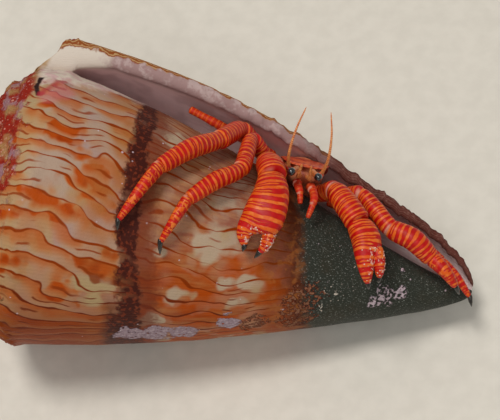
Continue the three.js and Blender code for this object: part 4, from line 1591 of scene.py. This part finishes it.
@dataclass
class HeadLimbs:
    """Eyes on stalks, feelers and mouth limbs of one side of the head."""

    hand: Hand
    middle_x: float = 38.7
    stalk: tuple[Point, Point] = ((1.15, 13.15, 6.1), (1.95, 12.4, 11.1))
    antennule: tuple[Point, Point, Point] = ((0.5, 12.2, 6.3), (0.9, 11.9, 9.4), (0.7, 13.8, 12.0))
    antenna: tuple[Point, Point] = ((2.3, 12.4, 5.4), (2.6, 13.0, 8.2))
    whip: tuple[Point, ...] = ((2.62, 13.1, 8.3), (3.0, 15.2, 11.4), (2.7, 18.8, 12.9), (1.9, 22.3, 12.2))
    mouth: dict[Hand, tuple[Point, ...]] = field(default_factory=lambda: {
        Hand.LEFT: ((39.9, 10.6, 6.0), (40.2, 10.6, 8.1), (40.9, 9.0, 10.2), (40.5, 5.9, 11.2)),
        Hand.RIGHT: ((38.0, 11.0, 6.0), (38.0, 10.7, 8.0), (38.6, 9.5, 9.2), (39.0, 7.8, 9.6)),
    })

    def at(self, place: Point) -> Point:
        """A place given from the crab's middle, on this side of it."""
        return (self.middle_x + self.hand.value * place[0], place[1], place[2])

    def build(self, finishes: dict[str, bpy.types.Material]) -> None:
        """Makes this side's eye, feelers and mouth limb."""
        side = self.hand.name.lower()
        root, end = self.at(self.stalk[0]), self.at(self.stalk[1])
        stalk = Tube(
            f"eyestalk_{side}_column",
            [root, end],
            rounded([(0.0, 0.0), (0.03, 0.42), (0.2, 0.5), (0.5, 0.43), (0.85, 0.5), (0.97, 0.52), (1.0, 0.3)]),
            columns=28,
            rows=50,
        ).build()
        finish_piece(stalk, finishes["stalk"], [f"eyestalk_{side}"])
        axis = np.array(end) - np.array(root)
        axis /= np.linalg.norm(axis)
        eye = Tube(
            f"eye_{side}_cornea",
            [tuple(np.array(end) - axis * 0.12), tuple(np.array(end) + axis * 1.5)],
            [(s, 0.64 * math.sqrt(max(0.0, 1.0 - (2.0 * s - 1.0) ** 2))) for s in np.linspace(0, 1, 60)],
            columns=32,
            rows=32,
        ).build()
        finish_piece(eye, finishes["eye"], [f"eye_{side}"])
        antennule = Tube(
            f"antennule_{side}_segments",
            [self.at(p) for p in self.antennule],
            rounded([(0.0, 0.0), (0.02, 0.3), (0.2, 0.34), (0.45, 0.26), (0.5, 0.34), (0.8, 0.24), (0.97, 0.16), (1.0, 0.0)]),
            columns=20,
            rows=70,
        ).build()
        finish_piece(antennule, finishes["feeler"], [f"antennule_{side}"])
        antenna = Tube(
            f"antenna_{side}_stem",
            [self.at(p) for p in self.antenna],
            rounded([(0.0, 0.0), (0.03, 0.5), (0.3, 0.6), (0.48, 0.44), (0.55, 0.52), (0.9, 0.42), (0.98, 0.32), (1.0, 0.0)]),
            columns=24,
            rows=50,
        ).build()
        finish_piece(antenna, finishes["plate"], [f"antenna_{side}"])
        whip = Tube(
            f"antenna_whip_{side}_thread",
            [self.at(p) for p in self.whip],
            rounded([(0.0, 0.0), (0.01, 0.27), (0.5, 0.2), (0.95, 0.1), (1.0, 0.03)]),
            columns=14,
            rows=200,
            ring_relief=0.08,
            period_mm=0.32,
        ).build()
        finish_piece(whip, finishes["feeler"], [f"antenna_whip_{side}"])
        mouth = Tube(
            f"maxilliped_{side}_segments",
            list(self.mouth[self.hand]),
            segment_profile([0.0, 0.36, 0.72, 1.0], [(0.6, 0.72, 0.7), (0.6, 0.64, 0.55), (0.48, 0.46, 0.34)]),
            columns=28,
            rows=100,
            pale=(0.36, 0.72),
            pale_reach=0.03,
        ).build()
        finish_piece(mouth, finishes["mouth"], [f"maxilliped_{side}"])


@dataclass
class SmallLeg:
    """A short hind leg that holds the shell from inside."""

    name: str
    line: Sequence[Point]
    girth: tuple[float, float]

    def build(self, faint: bpy.types.Material) -> None:
        """Makes the leg as one jointed tube."""
        root, end = self.girth
        middle = (root + end) / 2.0
        profile = segment_profile([0.0, 0.38, 0.7, 1.0], [(root, root, middle), (middle, middle, middle), (middle, end, end)])
        leg = Tube(f"{self.name}_segments", self.line, profile, pale=(0.38, 0.7), columns=28, rows=90).build()
        finish_piece(leg, faint, [self.name])


# ------------------------------------------------------------------- stage ----


@dataclass
class Stage:
    """The pale floor, the soft lights and the camera."""

    aim: Point = (31.7, 5.3, 0.0)
    distance_mm: float = 250.0
    lean_degrees: float = 12.0
    view_width_mm: float = 79.37
    sensor_mm: float = 36.0
    floor_size: float = 1.6

    def camera(self) -> None:
        """Puts the camera over the opening, leaning a little to one side."""
        bpy.ops.object.camera_add()
        camera = bpy.context.object
        camera.name = "camera"
        camera.data.sensor_width = self.sensor_mm
        camera.data.lens = self.sensor_mm * self.distance_mm / self.view_width_mm
        camera.data.clip_start = 0.01
        lean = math.radians(self.lean_degrees)
        right = POSE.direction((math.cos(lean), math.sin(lean), 0.0))
        up = POSE.direction((-math.sin(lean), math.cos(lean), 0.0))
        back = POSE.direction((0.0, 0.0, 1.0))
        place = POSE.place(np.array([[self.aim[0], self.aim[1], self.distance_mm]]))[0]
        turn = Matrix((right, up, back)).transposed().to_4x4()
        camera.matrix_world = Matrix.Translation(Vector(place)) @ turn
        bpy.context.scene.camera = camera

    def floor(self) -> None:
        """Lays a pale floor under the shell."""
        bpy.ops.object.select_all(action="DESELECT")
        bpy.ops.mesh.primitive_plane_add(size=self.floor_size)
        floor = bpy.context.object
        floor.name = "floor"
        paint = Paint("pale_floor")
        speckle = paint.noise(3.0, 3.0)
        colour = paint.mix(paint.step(speckle, 0.3, 0.7), hex_colour("d8d2c6"), hex_colour("dfd9cd"))
        floor.data.materials.append(paint.finish(colour, 0.6))

    def lamp(self, name: str, place: Point, size: float, watts: float, tint: Colour) -> None:
        """Hangs one soft light that looks at the shell."""
        bpy.ops.object.light_add(type="AREA", location=place)
        lamp = bpy.context.object
        lamp.name = name
        lamp.data.shape = "DISK"
        lamp.data.size = size
        lamp.data.energy = watts
        lamp.data.color = tint
        aim = Vector((0.0, 0.0, 0.02)) - Vector(place)
        lamp.rotation_euler = aim.to_track_quat("-Z", "Y").to_euler()

    def build(self) -> None:
        """Sets up everything round the model."""
        self.camera()
        self.floor()
        self.lamp("key_light", (-0.14, -0.04, 1.02), 0.3, 5.3, (1.0, 0.975, 0.94))
        self.lamp("fill_light", (0.12, -0.6, 0.86), 0.5, 2.3, (0.94, 0.97, 1.0))
        world = bpy.data.worlds.new("studio")
        world.use_nodes = True
        world.node_tree.nodes["Background"].inputs["Color"].default_value = (1.0, 0.97, 0.92, 1.0)
        world.node_tree.nodes["Background"].inputs["Strength"].default_value = 0.3
        bpy.context.scene.world = world
        bpy.context.scene.view_settings.view_transform = "Standard"


# ---------------------------------------------------------------- the crab ----

WALKING_LEGS = (
    WalkingLeg(
        "leg2_right",
        ((34, 13, 1), (29.8, 16, 5.6), (29, 11, 12.6), (22.4, 4.9, 18.7), (19.8, -2.1, 18.9)),
        (20.1, -3.9, 18),
        0.88,
    ),
    WalkingLeg(
        "leg3_right",
        ((33.3, 13.6, -2.4), (27.8, 17.3, 3), (24.9, 14.8, 9.9), (17.3, 8.7, 18.7), (13.2, -0.2, 20.6)),
        (13.4, -1.7, 20),
        1.0,
    ),
    WalkingLeg(
        "leg2_left",
        ((44, 10.2, 0.4), (48.2, 11.2, 3.2), (53.6, 7.1, 5.9), (60.9, 3.7, 6.4), (65.3, 0.3, 6.6)),
        (66.2, -0.8, 5.6),
        1.2,
        0.8,
    ),
    WalkingLeg(
        "leg3_left",
        ((44.6, 9.9, -2.6), (50, 9.4, -0.8), (56.2, 6.0, 1.4), (63.0, 3.4, 2.6), (68.2, -0.9, 3.6)),
        (68.8, -2.3, 3.4),
        0.84,
        arches=(0.0, 0.1, 0.3, 0.9),
    ),
)
PINCERS = (
    Pincer(
        "pincer_right",
        ((35.2, 12, 3.4), (32.8, 13.1, 7.6), (34, 11, 12.1)),
        bend=((33.8, 7.6, 14.9), (32.8, 4.2, 16.2), (31.8, 1.8, 16.3)),
        across=(1, 0.22, 0.1),
        wrist=2.2,
        fixed_side=[
            (0.0, 0.0), (0.01, 1.5), (0.05, 2.1), (0.18, 2.2), (0.32, 2.3), (0.46, 2.4), (0.6, 2.3),
            (0.68, 2.15), (0.77, 1.85), (0.88, 1.25), (0.96, 0.7), (1.0, 0.3),
        ],
        open_side=[
            (0.0, 0.0), (0.01, 1.5), (0.05, 2.15), (0.16, 2.7), (0.32, 3.3), (0.46, 3.8), (0.58, 4.1),
            (0.66, 3.85), (0.71, 2.9), (0.75, 1.8), (0.8, 1.2), (0.9, 0.75), (0.96, 0.5), (1.0, 0.3),
        ],
        thickness=[
            (0.0, 0.0), (0.01, 1.2), (0.05, 1.75), (0.18, 2.1), (0.4, 2.35), (0.6, 2.2), (0.72, 1.5),
            (0.8, 1.15), (0.9, 0.8), (0.96, 0.5), (1.0, 0.3),
        ],
        fixed_root=(32, 0, 16),
        fixed_tip=(31.9, -1, 15.7),
        moving=((34.4, 4.4, 15.6), (35.2, 2.3, 16.3), (35.0, 0.6, 16.2), (34.4, -0.5, 15.7)),
        moving_tip=(33.8, -1.6, 15.4),
        moving_girth=1.05,
        fork_share=0.75,
        lean=0.22,
    ),
    Pincer(
        "pincer_left",
        ((41.4, 9.9, 3.2), (43.8, 10.9, 6.2), (48.3, 6.8, 10)),
        bend=((49.6, 4.4, 11.6), (50.3, 1.9, 12.7), (50.9, -0.3, 12.7)),
        across=(0.95, 0.2, -0.25),
        wrist=2.05,
        fixed_side=[
            (0.0, 0.0), (0.01, 1.4), (0.05, 1.85), (0.15, 1.95), (0.35, 1.95), (0.55, 1.75), (0.7, 1.45),
            (0.85, 1.0), (0.95, 0.6), (1.0, 0.3),
        ],
        open_side=[
            (0.0, 0.0), (0.01, 1.4), (0.05, 2.0), (0.15, 2.4), (0.3, 2.6), (0.42, 2.5), (0.5, 2.0),
            (0.56, 1.45), (0.7, 1.2), (0.85, 0.85), (0.95, 0.5), (1.0, 0.3),
        ],
        thickness=[
            (0.0, 0.0), (0.01, 1.1), (0.05, 1.6), (0.2, 1.85), (0.45, 1.8), (0.6, 1.35), (0.8, 0.95),
            (0.95, 0.55), (1.0, 0.3),
        ],
        fixed_root=(51.4, -1.8, 12.1),
        fixed_tip=(51.8, -2.7, 11.8),
        moving=((51.5, 3.9, 12.0), (52.3, 1.8, 12.6), (52.7, 0.4, 12.5), (52.9, -0.6, 11.9)),
        moving_tip=(53, -1.5, 11.6),
        moving_girth=0.95,
        fork_share=0.5,
        lean=0.0,
    ),
)
SMALL_LEGS = (
    SmallLeg("leg4_right", ((33.8, 14.5, -5), (29.3, 15.9, -3), (23.8, 17.6, -1.2), (18.9, 19, -0.5)), (0.9, 0.6)),
    SmallLeg("leg4_left", ((43.7, 9.3, -5.2), (47.5, 8.6, -3.9), (51.6, 7.2, -3.1)), (0.75, 0.5)),
    SmallLeg("leg5_right", ((33.6, 11.7, -7), (31, 12.4, -7), (28.6, 13.2, -7.6)), (0.5, 0.4)),
    SmallLeg("leg5_left", ((42.7, 7.5, -8), (45.4, 6.8, -7.4), (47.2, 6.2, -7.2)), (0.5, 0.4)),
)


def crab_finishes() -> dict[str, bpy.types.Material]:
    """Every finish of the crab, by the name of what wears it."""
    return {
        "ringed": BandedFinish("ringed_limb").material(),
        "broad": BandedFinish("broad_ringed_limb", period_mm=1.05, orange_share=0.4, forks=1.6).material(),
        "fine": BandedFinish("fine_ringed_limb", period_mm=0.76, orange_share=0.4).material(),
        "blotched": BandedFinish("blotched_limb", Rings.BLOTCHED).material(),
        "faint": BandedFinish("faint_limb", Rings.FAINT, period_mm=0.8).material(),
        "mouth": BandedFinish("mouth_limb", Rings.FAINT, period_mm=0.7, orange=hex_colour("d8481c")).material(),
        "horn": PlainFinish("black_horn", hex_colour("0d0b0a"), hex_colour("2a211b"), roughness=0.28, coat=0.5).material(),
        "granule": PlainFinish("pale_granule", hex_colour("dcae9c"), hex_colour("f0dccf"), mottle_mm=0.3, roughness=0.4).material(),
        "skin": PlainFinish(
            "soft_skin", hex_colour("a84426"), hex_colour("d9825a"), mottle_mm=1.6, grain_depth_mm=0.06, roughness=0.36
        ).material(),
        "plate": PlainFinish("carapace", hex_colour("a8180c"), hex_colour("de5f28"), mottle_mm=0.9, roughness=0.36).material(),
        "stalk": PlainFinish(
            "eyestalk", hex_colour("cf5a1c"), hex_colour("f0a050"), mottle_mm=0.5, roughness=0.34, ring_mm=1.3
        ).material(),
        "feeler": PlainFinish(
            "feeler", hex_colour("b8481a"), hex_colour("eba45c"), mottle_mm=0.4, roughness=0.4, ring_mm=0.32
        ).material(),
        "eye": EyeFinish().material(),
    }


def main() -> None:
    """Builds the shell, the crab and the stage, in that order."""
    logging.basicConfig(level=logging.INFO, format="%(message)s", stream=sys.stdout)
    shell = ConeShell()
    shell.build()
    finishes = crab_finishes()
    Body(shell.whorl).build(finishes["skin"], finishes["plate"])
    for hand in Hand:
        HeadLimbs(hand).build(finishes)
    for leg in WALKING_LEGS:
        leg.build(finishes["ringed"], finishes["blotched"], finishes["horn"])
    for arm in PINCERS:
        arm.build(*(finishes[key] for key in ("fine", "broad", "blotched", "horn", "granule")))
    for small in SMALL_LEGS:
        small.build(finishes["faint"])
    Stage().build()
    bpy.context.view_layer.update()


if __name__ == "__main__":
    main()
